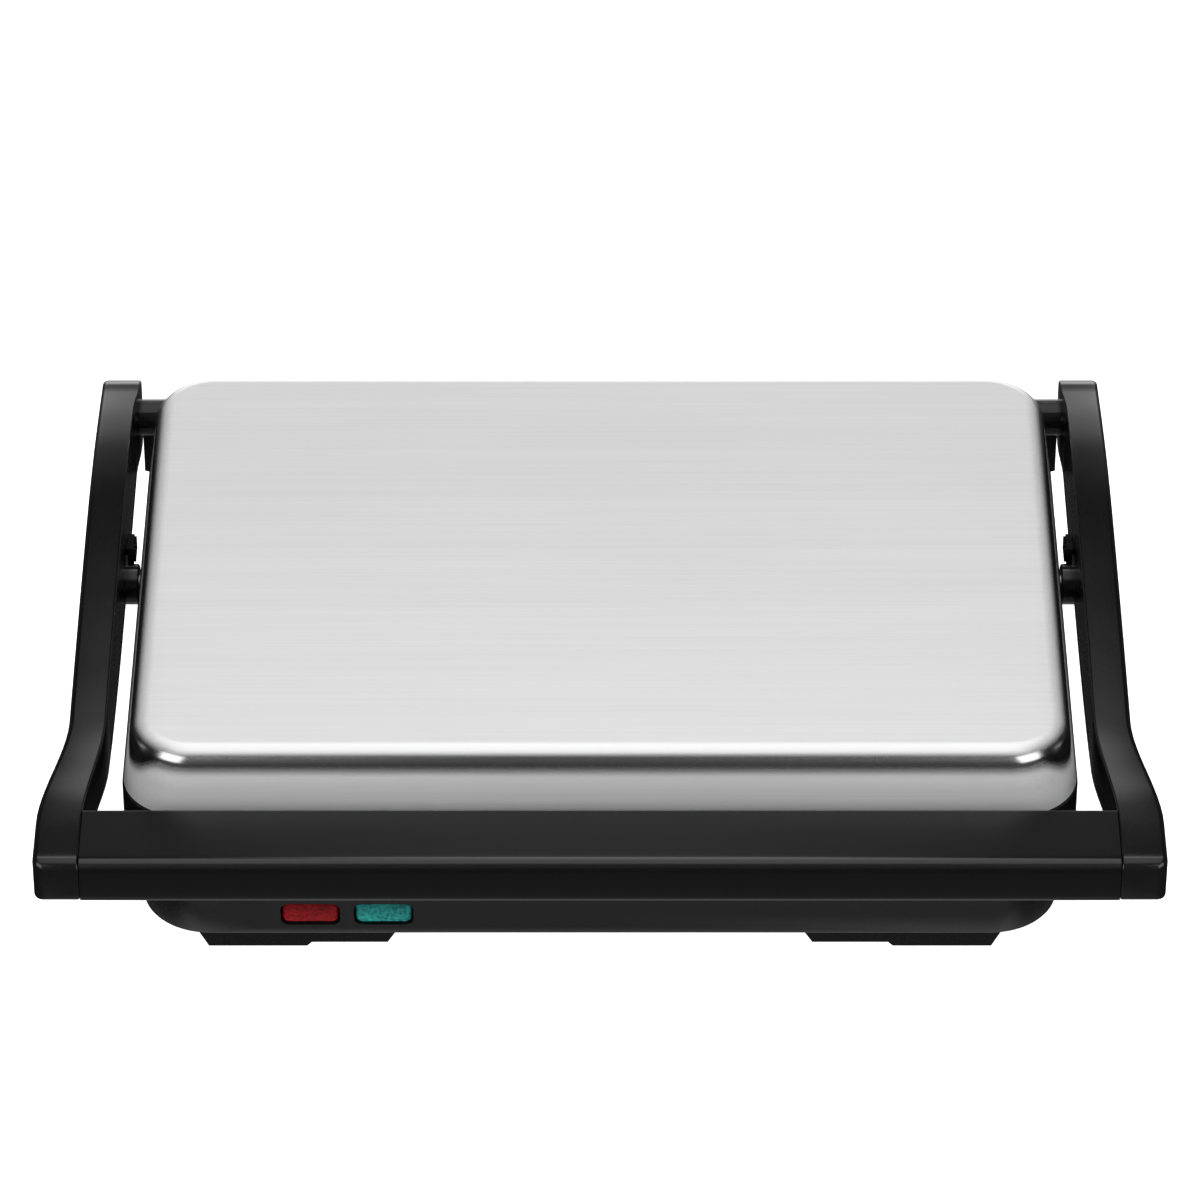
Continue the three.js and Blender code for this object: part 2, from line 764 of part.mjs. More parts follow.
const frameWall = wall + baseTopInset;
const lipInset = coverInset + sheet + seatGap + 0.6;

function rimRing(inset, z) {
  return planRing(rimHalf - inset, rimHalfDepth - inset, rimCorner - inset, z);
}

// The moulded frame round the upper plate, with an upstand that the steel cover fits over.
function lidFrame() {
  const frameLedgeZ = frameBottomZ + ledgeDrop;
  const shell = loft(
    [
      rimRing(frameWall, frameBottomZ),
      rimRing(edgeBreak, frameBottomZ),
      rimRing(0, frameBottomZ + edgeBreak),
      rimRing(0, frameTopZ - edgeBreak / 2),
      rimRing(edgeBreak / 2, frameTopZ),
      rimRing(lipInset, frameTopZ),
      rimRing(lipInset, frameTopZ + 3.5),
      rimRing(lipInset + 1.6, frameTopZ + 3.5),
      rimRing(lipInset + 1.6, frameLedgeZ + wall),
      rimRing(frameWall + ledgeReach, frameLedgeZ + wall),
      rimRing(frameWall + ledgeReach, frameLedgeZ),
      rimRing(frameWall, frameLedgeZ),
    ],
    true,
  );
  const bossInnerX = plateHalfX - plateBodyInset + 0.6;
  const sides = [-1, 1].map((side) => {
    const x0 = Math.min(side * bossInnerX, side * (rimHalf - 1));
    const x1 = Math.max(side * bossInnerX, side * (rimHalf - 1));
    return rodX(pivotBossRadius, x0, x1, lidPivotY, lidPivotZ, 24);
  });
  const bore = rodX(lidPinRadius + pinClearance, -rimHalf - 1, rimHalf + 1, lidPivotY, lidPivotZ, 20);
  return cut(join(shell, ...sides), bore);
}

// The drawn steel cover: upright sides with a little draft, a soft fillet and a flat top.
function lidSteelCover() {
  const filletZ = lidTopZ - coverFillet;
  const edge = rimCorner - coverInset;
  const outer = [{ side: coverInset, end: coverInset, z: coverBottomZ, corner: edge }];
  filletSteps(coverFillet).forEach(({ inward, up }) =>
    outer.push({
      side: coverInset + coverSideDraft + inward,
      end: coverInset + coverEndDraft + inward,
      z: filletZ + up,
      corner: edge - coverEndDraft - inward,
    }),
  );
  const ring = ({ side, end, z, corner }) => planRing(rimHalf - side, rimHalfDepth - end, corner, z);
  const inner = outer.map(({ side, end, z, corner }) => ({
    side: side + sheet,
    end: end + sheet,
    z: z - sheet,
    corner: Math.max(corner - sheet, 1),
  }));
  inner[0].z = coverBottomZ;
  return loft([...inner.reverse().map(ring), ...outer.map(ring)]);
}

// ---- Bail handle -------------------------------------------------------------------------------------

// A smooth curve through (Y, Z) points of rising Y, read at any Y.
function curveThrough(points) {
  const slopeAt = (i) => {
    const before = points[Math.max(i - 1, 0)];
    const after = points[Math.min(i + 1, points.length - 1)];
    return (after[1] - before[1]) / (after[0] - before[0]);
  };
  return (y) => {
    const last = points.length - 2;
    const found = points.findIndex((point, i) => i > 0 && y <= point[0]) - 1;
    const i = found < 0 ? (y < points[0][0] ? 0 : last) : found;
    const [y0, z0] = points[i];
    const [y1, z1] = points[i + 1];
    const span = y1 - y0;
    const t = THREE.MathUtils.clamp((y - y0) / span, 0, 1);
    const rise = slopeAt(i) * span;
    const fall = slopeAt(i + 1) * span;
    const t2 = t * t;
    const t3 = t2 * t;
    return z0 * (2 * t3 - 3 * t2 + 1) + z1 * (3 * t2 - 2 * t3) + rise * (t3 - 2 * t2 + t) + fall * (t3 - t2);
  };
}

// The arm seen from the side: level with the bar in front, highest over the lid's pivot.
const armTopLine = curveThrough([
  [barFrontY, barTopZ],
  [barRearY, barTopZ],
  [barRearY + 15, barTopZ + 1.4],
  [barRearY + 30, barTopZ + 2.9],
  [barRearY + 58, barTopZ + 5.1],
  [lidPivotY - 29, barTopZ + 6.9],
  [lidPivotY + 8, barTopZ + 8.4],
  [hingeY - 36, barTopZ + 7.6],
  [hingeY - 18, hingeZ + armEndRadius + 2.7],
  [hingeY, hingeZ + armEndRadius],
]);
const armBottomLine = curveThrough([
  [barFrontY, barBottomZ],
  [barRearY, barBottomZ],
  [barRearY + 30, barBottomZ - 0.6],
  [barRearY + 50, barBottomZ - 3.2],
  [barRearY + 77, barBottomZ - 5.1],
  [lidPivotY - 9, barBottomZ - 5.4],
  [hingeY - 36, barBottomZ - 5.2],
  [hingeY, hingeZ - armEndRadius],
]);
const flareShare = (y) => THREE.MathUtils.smoothstep(flareStartY - y, 0, flareStartY - flareEndY);
const armInner = (y) => armInnerX + armFlareIn * flareShare(y);
const armOuter = (y) => armOuterX + armFlareOut * flareShare(y);

// How far a rounded edge of the given radius falls away at a distance from the piece's end.
const roundDrop = (distance, radius) =>
  distance >= radius ? 0 : radius - Math.sqrt(Math.max(radius * radius - (radius - distance) ** 2, 0));

// The arm's cross-section at a place along it, shrunk by an inset, as a rounded rectangle.
function armSection(y, inset = 0) {
  const fromFront = y - barFrontY;
  let topZ = armTopLine(y) - roundDrop(fromFront, barTopRound);
  let bottomZ = armBottomLine(y) + roundDrop(fromFront, barSmallRound);
  if (y > hingeY) {
    const half = Math.sqrt(Math.max(armEndRadius ** 2 - (y - hingeY) ** 2, 0.25));
    topZ = hingeZ + half;
    bottomZ = hingeZ - half;
  }
  const outerX = armOuter(y) - roundDrop(fromFront, frontCornerRound) - inset;
  return { innerX: armInner(y), outerX, topZ: topZ - inset, bottomZ: bottomZ + inset };
}

function sectionRing({ innerX, outerX, topZ, bottomZ }, y, innerRound, outerRound, steps = 2) {
  const most = (topZ - bottomZ) * 0.45;
  const corners = [
    { x: outerX, z: topZ, r: Math.min(outerRound, most), turn: 0, sx: -1, sz: -1 },
    { x: innerX, z: topZ, r: Math.min(innerRound, most), turn: 1, sx: 1, sz: -1 },
    { x: innerX, z: bottomZ, r: Math.min(innerRound, most), turn: 2, sx: 1, sz: 1 },
    { x: outerX, z: bottomZ, r: Math.min(outerRound, most), turn: 3, sx: -1, sz: 1 },
  ];
  return corners.flatMap(({ x, z, r, turn, sx, sz }) =>
    Array.from({ length: steps + 1 }, (_, i) => {
      const angle = ((turn + i / steps) * Math.PI) / 2;
      return new THREE.Vector3(x + sx * r + r * Math.cos(angle), y, z + sz * r + r * Math.sin(angle));
    }),
  );
}

function armBody() {
  const front = [0.02, 0.35, 1, 2, 3.2, 5, 8].map((d) => barFrontY + d);
  const spread = (from, to, count) => Array.from({ length: count }, (_, i) => lerp(from, to, i / count));
  const middle = [...spread(flareEndY - 2, flareStartY + 4, 9), ...spread(flareStartY + 4, hingeY, 10)];
  const rear = [0, 15, 30, 45, 58, 70, 80, 87].map(
    (degrees) => hingeY + armEndRadius * Math.sin(THREE.MathUtils.degToRad(degrees)),
  );
  const rings = [...front, ...middle, ...rear].map((y) =>
    sectionRing(armSection(y), y, armInnerRound, armEdgeRound),
  );
  return loft(rings.reverse());
}

// The arm's hollow side and the flat cover that closes it follow the same outline.
function armInsetBody(inset, x0, x1, y0, y1) {
  const count = 10;
  const rings = Array.from({ length: count }, (_, i) => {
    const y = lerp(y1, y0, i / (count - 1));
    const { topZ, bottomZ } = armSection(y, inset);
    return sectionRing({ innerX: x0, outerX: x1, topZ, bottomZ }, y, 0.3, 0.3, 1);
  });
  return loft(rings);
}

const pocketFloorX = armOuterX - wall;

function arm() {
  const pocket = armInsetBody(armRim, armInnerX - 1, pocketFloorX, armCoverFrontY, armCoverRearY);
  const boss = rodX(pivotBossRadius, rimHalf + bossRunning, armOuterX - 1, lidPivotY, lidPivotZ, 20);
  const pinBore = rodX(
    lidPinRadius + pinClearance,
    rimHalf,
    armInnerX + armThickness * 0.7 + seatGap,
    lidPivotY,
    lidPivotZ,
    12,
  );
  const hingeBore = rodX(
    hingePinRadius + pinClearance,
    armInnerX - 1,
    armInnerX + armThickness * 0.7 + seatGap,
    hingeY,
    hingeZ,
  );
  const tongueSlot = barTongue(seatGap);
  const screwHole = rodZ(
    screwRadius + seatGap,
    barBottomZ - 1,
    barTopZ - 4,
    tongueScrewX,
    tongueScrewY,
    12,
  );
  const counterbore = rodZ(
    screwHeadRadius + seatGap,
    barBottomZ - 1,
    barBottomZ + screwHeadHeight + 0.4,
    tongueScrewX,
    tongueScrewY,
  );
  return cut(join(cut(armBody(), pocket), boss), pinBore, hingeBore, tongueSlot, screwHole, counterbore);
}

function armCover() {
  const x1 = armInnerX + armCoverThickness;
  const plate = armInsetBody(
    armRim + seatGap,
    armInnerX + 0.1,
    x1,
    armCoverFrontY + seatGap,
    armCoverRearY - seatGap,
  );
  const bossHole = rodX(pivotBossRadius + seatGap, rimHalf, x1 + 1, lidPivotY, lidPivotZ, 20);
  const slot = block(
    armInnerX - 1,
    x1 + 1,
    stemFrontY - seatGap,
    stemRearY + slideTravel + seatGap,
    stemBottomZ - seatGap,
    stemTopZ + seatGap,
  );
  return cut(plate, bossHole, slot);
}

function lidPivotPin() {
  return rodX(
    lidPinRadius,
    plateHalfX - plateBodyInset + 1,
    armInnerX + armThickness * 0.7,
    lidPivotY,
    lidPivotZ,
  );
}

// A ribbed knob on the arm's inner face; its stem runs in a slot and carries a latch plate inside.
const stemFrontY = knobFrontY + 2;
const stemRearY = knobFrontY + knobLength - 2;
const stemBottomZ = knobBottomZ + knobHeight / 2 - 1;
const stemTopZ = stemBottomZ + 2;

function lockSlider() {
  const faceX = armInnerX - seatGap;
  const knob = block(
    faceX - knobProud + 0.6,
    faceX,
    knobFrontY,
    knobFrontY + knobLength,
    knobBottomZ,
    knobBottomZ + knobHeight,
  );
  const pitch = knobLength / knobRibs;
  const ribs = Array.from({ length: knobRibs }, (_, i) => {
    const y = knobFrontY + pitch * (i + 0.25);
    return block(
      faceX - knobProud,
      faceX - 1,
      y,
      y + pitch / 2,
      knobBottomZ + 0.4,
      knobBottomZ + knobHeight - 0.4,
    );
  });
  const latchX = armInnerX + armCoverThickness + seatGap;
  const stem = block(faceX - 0.5, latchX + 1, stemFrontY, stemRearY, stemBottomZ, stemTopZ);
  const latch = block(latchX, latchX + 2, stemFrontY - 0.6, stemRearY + 3, stemBottomZ - 2, stemTopZ + 2);
  return join(knob, stem, latch, ...ribs);
}

// The bar between the arms: a shell open below, closed by its own cover, with a tongue at each end.
const barHalf = armInnerX + armFlareIn - seatGap;
const tongueFrontY = barFrontY + 5;
const tongueRearY = barRearY - 5;
const tongueScrewX = barHalf + tongueLength / 2 + 0.5;
const tongueScrewY = (tongueFrontY + tongueRearY) / 2;
const barCoverZ = barBottomZ + wall;

function barTongue(grow = 0) {
  return block(
    barHalf - 1,
    barHalf + tongueLength + grow,
    tongueFrontY - grow,
    tongueRearY + grow,
    barBottomZ + 3.5 - grow,
    barTopZ - 3.5 + grow,
  );
}

function barOutline(inset = 0) {
  const front = barFrontY + inset;
  const rear = barRearY - inset;
  const top = barTopZ - inset;
  const low = barBottomZ + inset;
  const big = barTopRound - inset * 0.8;
  const small = Math.max(barSmallRound - inset, 0.3);
  const shape = new THREE.Shape();
  shape.moveTo(front + small, low);
  shape.lineTo(rear - small, low);
  shape.absarc(rear - small, low + small, small, -Math.PI / 2, 0, false);
  shape.lineTo(rear, top - small);
  shape.absarc(rear - small, top - small, small, 0, Math.PI / 2, false);
  shape.lineTo(front + big, top);
  shape.absarc(front + big, top - big, big, Math.PI / 2, Math.PI, false);
  shape.lineTo(front, low + small);
  shape.absarc(front + small, low + small, small, Math.PI, 1.5 * Math.PI, false);
  return shape;
}

function handleBar() {
  const outside = sideExtrude(barOutline(), -barHalf, barHalf, 5);
  const hollow = sideExtrude(barOutline(wall), -barHalf + 4, barHalf - 4, 3);
  const mouth = block(
    -barHalf + 4,
    barHalf - 4,
    barFrontY + wall,
    barRearY - wall,
    barBottomZ - 1,
    barBottomZ + wall + 1,
  );
  const tongueHole = (side) =>
    rodZ(screwRadius + seatGap, barBottomZ, barTopZ - 4.5, side * tongueScrewX, tongueScrewY, 12);
  const solid = join(cut(outside, hollow, mouth), barTongue(), mirrored(barTongue()));
  return cut(solid, tongueHole(-1), tongueHole(1));
}

function handleBarCover() {
  const x = barHalf - 4 - seatGap;
  const y0 = barFrontY + wall + seatGap;
  const y1 = barRearY - wall - seatGap;
  const plate = block(-x, x, y0, y1, barBottomZ, barCoverZ);
  const ribs = [-2, -1, 0, 1, 2].map((k) =>
    block(k * 48 - 1, k * 48 + 1, y0 + 1, y1 - 1, barCoverZ - 0.5, barTopZ - wall - 0.8),
  );
  return join(plate, ...ribs);
}

// ---- Materials and assembly --------------------------------------------------------------------------

const finish = (color, roughness, metalness = 0, more = {}) => () =>
  new THREE.MeshStandardMaterial({ color, roughness, metalness, ...more });

const blackPlastic = finish(0x1a1a1b, 0.5);
const innerPlastic = finish(0x151516, 0.6);
const brushedSteel = finish(0xc9cacb, 0.34, 1);
const castAluminium = finish(0x2b2b2c, 0.55, 0.3);
const zincSteel = finish(0xa9abad, 0.42, 1);
const aluminised = finish(0xb9bbbd, 0.5, 0.9);
const elementSheath = finish(0x4f5250, 0.6, 0.8);
const rubber = finish(0x1c1c1d, 0.9);
const ceramic = finish(0xe8e2d4, 0.6);
const redLens = finish(0x8c1518, 0.15, 0, { transparent: true, opacity: 0.85 });
const greenLens = finish(0x1f8f83, 0.15, 0, { transparent: true, opacity: 0.85 });
const neonGlass = finish(0xd9c9a8, 0.1, 0, { transparent: true, opacity: 0.6 });

function piece(name, geometry, material, at = [0, 0, 0]) {
  const mesh = new THREE.Mesh(geometry, material());
  mesh.name = name;
  mesh.position.set(...at);
  return mesh;
}

const sideNames = [
  ["left", -1],
  ["right", 1],
];
const onSide = (geometry, side) => (side > 0 ? geometry : mirrored(geometry));

function base() {
  const group = new THREE.Group();
  group.add(
    piece("base_housing", baseHousing(), blackPlastic),
    piece("bottom_cover", bottomCover(), blackPlastic),
    piece("lower_grill_plate", grillPlate(), castAluminium),
    piece("lower_heating_element", heatingElement(), elementSheath),
    piece("lower_heat_reflector", heatReflector(), aluminised),
    piece("thermostat", thermostat(), zincSteel),
    piece("thermal_fuse", thermalFuse(), ceramic),
    piece("terminal_block", terminalBlock(), ceramic),
    piece("cord_bushing", cordBushing(), rubber),
    piece("power_lamp_lens", lens(lensXs[0]), redLens),
    piece("ready_lamp_lens", lens(lensXs[1]), greenLens),
    piece("power_neon_lamp", neonLamp(lensXs[0]), neonGlass),
    piece("ready_neon_lamp", neonLamp(lensXs[1]), neonGlass),
    piece("lamp_holder", lampHolder(), ceramic),
  );
  sideNames.forEach(([name, side]) =>
    group.add(
      piece(name + "_hinge_post", onSide(hingePost(), side), blackPlastic),
      piece(name + "_hinge_pin", onSide(hingePin(), side), zincSteel),
    ),
  );
  footPlaces.forEach(({ side, y }) => {
    const name = (y < rimCentreY ? "front_" : "rear_") + (side < 0 ? "left" : "right") + "_foot_pad";
    group.add(piece(name, padBlock(side, y, 0, padHeight * 2), rubber));
  });
  bossPlaces.forEach(([x, y], i) =>
    group.add(
      piece("bottom_cover_screw_" + (i + 1), screw(7), zincSteel, [x, y, baseBottomZ - screwHeadHeight / 2]),
    ),
  );
  postPlaces.forEach(([x, y], i) =>
    group.add(
      piece("lower_reflector_screw_" + (i + 1), screw(6), zincSteel, [
        x,
        y,
        reflectorBottomZ - seatGap - screwHeadHeight,
      ]),
    ),
  );
  return group;
}

function lid() {
  const group = new THREE.Group();
  group.add(
    piece("lid_frame", lidFrame(), blackPlastic),
    piece("lid_steel_cover", lidSteelCover(), brushedSteel),
    piece("upper_grill_plate", turnedOver(grillPlate()), castAluminium),
    piece("upper_heating_element", turnedOver(heatingElement()), elementSheath),
    piece("upper_heat_reflector", turnedOver(heatReflector()), aluminised),
    piece("upper_thermal_fuse", turnedOver(thermalFuse()), ceramic),
  );
  postPlaces.forEach(([x, y], i) => {
    const turned = piece("upper_reflector_screw_" + (i + 1), screw(6).rotateX(Math.PI), zincSteel);
    turned.position.set(x, y, 2 * partingZ - (reflectorBottomZ - seatGap - screwHeadHeight));
    group.add(turned);
  });
  return group;
}

function handleFrame() {
  const group = new THREE.Group();
  group.add(
    piece("handle_bar", handleBar(), blackPlastic),
    piece("handle_bar_cover", handleBarCover(), innerPlastic),
  );
  sideNames.forEach(([name, side]) => {
    group.add(
      piece(name + "_arm", onSide(arm(), side), blackPlastic),
      piece(name + "_arm_cover", onSide(armCover(), side), innerPlastic),
      piece(name + "_lid_pivot_pin", onSide(lidPivotPin(), side), zincSteel),
      piece(name + "_lock_slider", onSide(lockSlider(), side), innerPlastic),
      piece(name + "_handle_screw", screw(7), zincSteel, [
        side * tongueScrewX,
        tongueScrewY,
        barBottomZ + 0.4,
      ]),
    );
  });
  return group;
}

const paniniPress = new THREE.Group();
paniniPress.name = "panini_press";
paniniPress.add(base(), lid(), handleFrame());

export default paniniPress;
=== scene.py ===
"""Studio scene and fine surfaces for a two-slice panini press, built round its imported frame."""

import json
import math

import bmesh
import bpy
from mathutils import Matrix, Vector


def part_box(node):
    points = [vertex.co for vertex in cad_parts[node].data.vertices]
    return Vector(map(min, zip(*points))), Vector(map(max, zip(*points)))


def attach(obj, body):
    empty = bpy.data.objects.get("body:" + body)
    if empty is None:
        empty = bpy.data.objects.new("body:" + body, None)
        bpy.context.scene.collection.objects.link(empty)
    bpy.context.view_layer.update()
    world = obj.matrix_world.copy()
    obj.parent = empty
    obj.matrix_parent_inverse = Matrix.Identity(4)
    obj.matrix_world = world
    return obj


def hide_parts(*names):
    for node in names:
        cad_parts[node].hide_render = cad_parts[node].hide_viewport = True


bl_info = {
    "name": "Panini Press",
    "version": (1, 0, 0),
    "blender": (4, 5, 0),
    "location": "View3D > Sidebar > Press",
    "description": "Builds the lid, handle, base and lamps of a panini press with their finishes",
    "category": "Add Mesh",
}

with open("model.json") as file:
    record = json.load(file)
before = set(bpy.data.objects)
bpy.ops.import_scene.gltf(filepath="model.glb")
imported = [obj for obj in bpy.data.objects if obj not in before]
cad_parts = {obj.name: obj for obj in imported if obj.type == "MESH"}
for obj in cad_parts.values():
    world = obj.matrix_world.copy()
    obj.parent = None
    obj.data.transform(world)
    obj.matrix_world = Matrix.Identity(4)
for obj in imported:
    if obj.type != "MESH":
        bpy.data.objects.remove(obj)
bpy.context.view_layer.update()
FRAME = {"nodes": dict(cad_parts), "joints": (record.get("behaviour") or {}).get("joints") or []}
MM = 0.001


# ---- Shader expressions ------------------------------------------------------


class Sock:
    """A node socket that takes part in Python arithmetic by adding Math nodes."""

    def __init__(self, build, out):
        self.build = build
        self.out = out

    def _math(self, operation, a, b=None, clamp=False):
        inputs = {0: a} if b is None else {0: a, 1: b}
        return self.build.node("ShaderNodeMath", {"operation": operation, "use_clamp": clamp}, inputs)

    def __add__(self, other):
        return self._math("ADD", self, other)

    __radd__ = __add__

    def __sub__(self, other):
        return self._math("SUBTRACT", self, other)

    def __rsub__(self, other):
        return self._math("SUBTRACT", other, self)

    def __mul__(self, other):
        return self._math("MULTIPLY", self, other)

    __rmul__ = __mul__

    def size(self):
        """The value without its sign."""
        return self._math("ABSOLUTE", self)

    def clamped(self):
        """The value held between 0 and 1."""
        return self._math("ADD", self, 0.0, clamp=True)

    def step(self, low, high):
        """0 below low, 1 above high, smooth between."""
        return self.build.node(
            "ShaderNodeMapRange",
            {"interpolation_type": "SMOOTHSTEP"},
            {"Value": self, "From Min": low, "From Max": high},
        )


class Build:
    """A node tree under construction, with a single method that adds every node."""

    def __init__(self, tree):
        self.tree = tree

    def node(self, kind, settings=None, inputs=None, out=0):
        """Adds a node, sets it first and feeds it next, and gives one of its outputs."""
        node = self.tree.nodes.new(kind)
        for key, value in (settings or {}).items():
            if key == "stops":
                self._stops(node.color_ramp.elements, value)
            else:
                setattr(node, key, value)
        for key, value in (inputs or {}).items():
            self.feed(node.inputs[key], value)
        return Sock(self, node.outputs[out])

    def _stops(self, elements, stops):
        """The stops of a grey ramp, from pairs of place and level."""
        while len(elements) < len(stops):
            elements.new(1.0)
        for element, (place, level) in zip(elements, stops):
            element.position = place
            element.color = (level, level, level, 1.0)

    def feed(self, socket, value):
        """Links a socket to a value from another node, or sets it to a plain value."""
        if isinstance(value, Sock):
            self.tree.links.new(value.out, socket)
        elif socket.type == "RGBA" and len(value) == 3:
            socket.default_value = (*value, 1.0)
        else:
            socket.default_value = value


class Surface(Build):
    """One material under construction, with the nodes that the finishes share."""

    # Places of the Mix node's colour sockets, whose names its other sockets share.
    MIX_A, MIX_B, MIX_RESULT = 6, 7, 2

    def __init__(self, name):
        self.material = bpy.data.materials.new(name)
        self.material.use_nodes = True
        super().__init__(self.material.node_tree)
        self.shader = self.tree.nodes["Principled BSDF"]

    def set(self, **values):
        """Feeds the shader's sockets, named with an underscore for each space."""
        for key, value in values.items():
            self.feed(self.shader.inputs[key.replace("_", " ")], value)

    def place(self, scale=(1, 1, 1), turn=(0, 0, 0)):
        """Object coordinates, stretched and turned."""
        coords = self.node("ShaderNodeTexCoord", out="Object")
        return self.node(
            "ShaderNodeMapping", None, {"Vector": coords, "Scale": scale, "Rotation": turn}
        )

    def along(self, axis):
        """Place along one axis of the object's own frame, in metres."""
        coords = self.node("ShaderNodeTexCoord", out="Object")
        return self.node("ShaderNodeSeparateXYZ", None, {0: coords}, out=axis)

    def noise(self, where, scale, detail=3.0, rough=0.5):
        """Soft random values around 0.5."""
        return self.node(
            "ShaderNodeTexNoise",
            None,
            {"Vector": where, "Scale": scale, "Detail": detail, "Roughness": rough},
        )

    def cells(self, where, scale, distance="EUCLIDEAN"):
        """Distance from the nearest of many scattered points."""
        return self.node(
            "ShaderNodeTexVoronoi",
            {"feature": "F1", "distance": distance},
            {"Vector": where, "Scale": scale},
        )

    def mix(self, share, a, b):
        """The colour a, turned into b by that share."""
        inputs = {"Factor": share, self.MIX_A: a, self.MIX_B: b}
        return self.node("ShaderNodeMix", {"data_type": "RGBA"}, inputs, out=self.MIX_RESULT)

    def bump(self, height, strength, distance):
        """Small relief from a height, up to that distance in metres."""
        return self.node(
            "ShaderNodeBump",
            None,
            {"Height": height, "Strength": strength, "Distance": distance},
        )


# ---- Mesh helpers ------------------------------------------------------------


# Edges that fold by more than this stay sharp.
SHARP_ANGLE = math.radians(35)
ROD_SIDES = 48
ROD_EDGE = 0.4 * MM
# The largest share of a side that the rounding of one corner takes.
MOST_REACH = 0.49


def lerp(a, b, t):
    """The value that lies the share t of the way from a to b."""
    return a + (b - a) * t


def smoothstep(x, low, high):
    """0 below low, 1 above high, smooth between."""
    t = min(max((x - low) / (high - low), 0.0), 1.0)
    return t * t * (3 - 2 * t)


def plan_ring(half_x, half_y, corner, z, centre_y, steps):
    """One level of a rounded rectangle in plan, anticlockwise, in metres."""
    points = []
    for quarter in range(4):
        sign_x = 1 if quarter in (0, 3) else -1
        sign_y = 1 if quarter < 2 else -1
        for i in range(steps + 1):
            angle = (quarter + i / steps) * math.pi / 2
            x = sign_x * (half_x - corner) + corner * math.cos(angle)
            y = centre_y + sign_y * (half_y - corner) + corner * math.sin(angle)
            points.append((x, y, z))
    return points


def loft(name, rings, closed=False):
    """A mesh object between rings of equal point count, capped unless the rings close on themselves."""
    shape = bmesh.new()
    levels = [[shape.verts.new(point) for point in ring] for ring in rings]
    count = len(levels[0])
    pairs = list(zip(levels, levels[1:]))
    if closed:
        pairs.append((levels[-1], levels[0]))
    for low, high in pairs:
        for i in range(count):
            j = (i + 1) % count
            shape.faces.new((low[i], low[j], high[j], high[i]))
    if not closed:
        shape.faces.new(reversed(levels[0]))
        shape.faces.new(levels[-1])
    bmesh.ops.recalc_face_normals(shape, faces=shape.faces)
    return finish_mesh(name, shape)


def smooth(mesh):
    """Shades a mesh smooth but for its sharp edges."""
    mesh.shade_smooth()
    mesh.set_sharp_from_angle(angle=SHARP_ANGLE)


def finish_mesh(name, shape):
    """An object from a shape."""
    mesh = bpy.data.meshes.new(name)
    shape.to_mesh(mesh)
    shape.free()
    smooth(mesh)
    thing = bpy.data.objects.new(name, mesh)
    bpy.context.collection.objects.link(thing)
    return thing


def circle(radius):
    """Points round a circle, as pairs of across and up."""
    angles = [i / ROD_SIDES * 2 * math.pi for i in range(ROD_SIDES)]
    return [(radius * math.cos(angle), radius * math.sin(angle)) for angle in angles]


def rod_x(name, radius, x0, x1, y, z):
    """A rod along X with both ends slightly rounded."""
    ends = ((x0, ROD_EDGE), (x0 + ROD_EDGE, 0.0), (x1 - ROD_EDGE, 0.0), (x1, ROD_EDGE))
    rings = [[(x, y + across, z + up) for across, up in circle(radius - inset)] for x, inset in ends]
    return loft(name, rings)


def rod_y(name, radius, y0, y1, x, z):
    """A plain rod along Y."""
    rings = [[(x + across, y, z + up) for across, up in circle(radius)] for y in (y0, y1)]
    return loft(name, rings)


def box_between(name, low, high):
    """A block between two corners."""
    rings = [
        [(low[0], low[1], z), (high[0], low[1], z), (high[0], high[1], z), (low[0], high[1], z)]
        for z in (low[2], high[2])
    ]
    return loft(name, rings)


def combine(thing, tool, operation):
    """Joins the tool to a piece or cuts it away, and removes the tool."""
    change = thing.modifiers.new("combine", "BOOLEAN")
    change.operation = operation
    change.solver = "EXACT"
    change.object = tool
    graph = bpy.context.evaluated_depsgraph_get()
    graph.update()
    result = bpy.data.meshes.new_from_object(thing.evaluated_get(graph))
    thing.modifiers.clear()
    thing.data = result
    bpy.data.objects.remove(tool)
    smooth(result)


def rounded_outline(outline, radii, steps):
    """A closed outline of 2-D points with each corner rounded by its own radius."""
    result = []
    count = len(outline)
    for i, point in enumerate(outline):
        here = Vector(point)
        before = Vector(outline[i - 1]) - here
        after = Vector(outline[(i + 1) % count]) - here
        radius = radii[i]
        if radius <= 0:
            result.append(tuple(here))
            continue
        half = before.angle(after) / 2
        reach = min(radius / math.tan(half), before.length * MOST_REACH, after.length * MOST_REACH)
        start = here + before.normalized() * reach
        end = here + after.normalized() * reach
        for k in range(steps + 1):
            t = k / steps
            # A quadratic curve is close to an arc at these small radii.
            result.append(tuple(start * (1 - t) ** 2 + here * 2 * t * (1 - t) + end * t * t))
    return result


def paint(thing, material):
    """Gives a piece that material alone."""
    thing.data.materials.clear()
    thing.data.materials.append(material)


def dress(thing, material, body, stands_for):
    """Gives a piece its finish and its body, and hides the frame part that it stands for."""
    paint(thing, material)
    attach(thing, body)
    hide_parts(stands_for)


def bevel(thing, width):
    """Rounds the hard edges of a piece."""
    rounding = thing.modifiers.new("edges", "BEVEL")
    rounding.width = width
    rounding.segments = 2
    rounding.limit_method = "ANGLE"
    rounding.angle_limit = math.radians(40)
    rounding.harden_normals = True
    rounding.use_clamp_overlap = True


# ---- User settings -----------------------------------------------------------


def length(name, description, default):
    return bpy.props.FloatProperty(
        name=name, description=description, default=default * MM, min=0.0, unit="LENGTH", precision=5
    )


def tint(name, description, default):
    return bpy.props.FloatVectorProperty(
        name=name, description=description, default=default, subtype="COLOR", size=3, min=0.0, max=1.0
    )


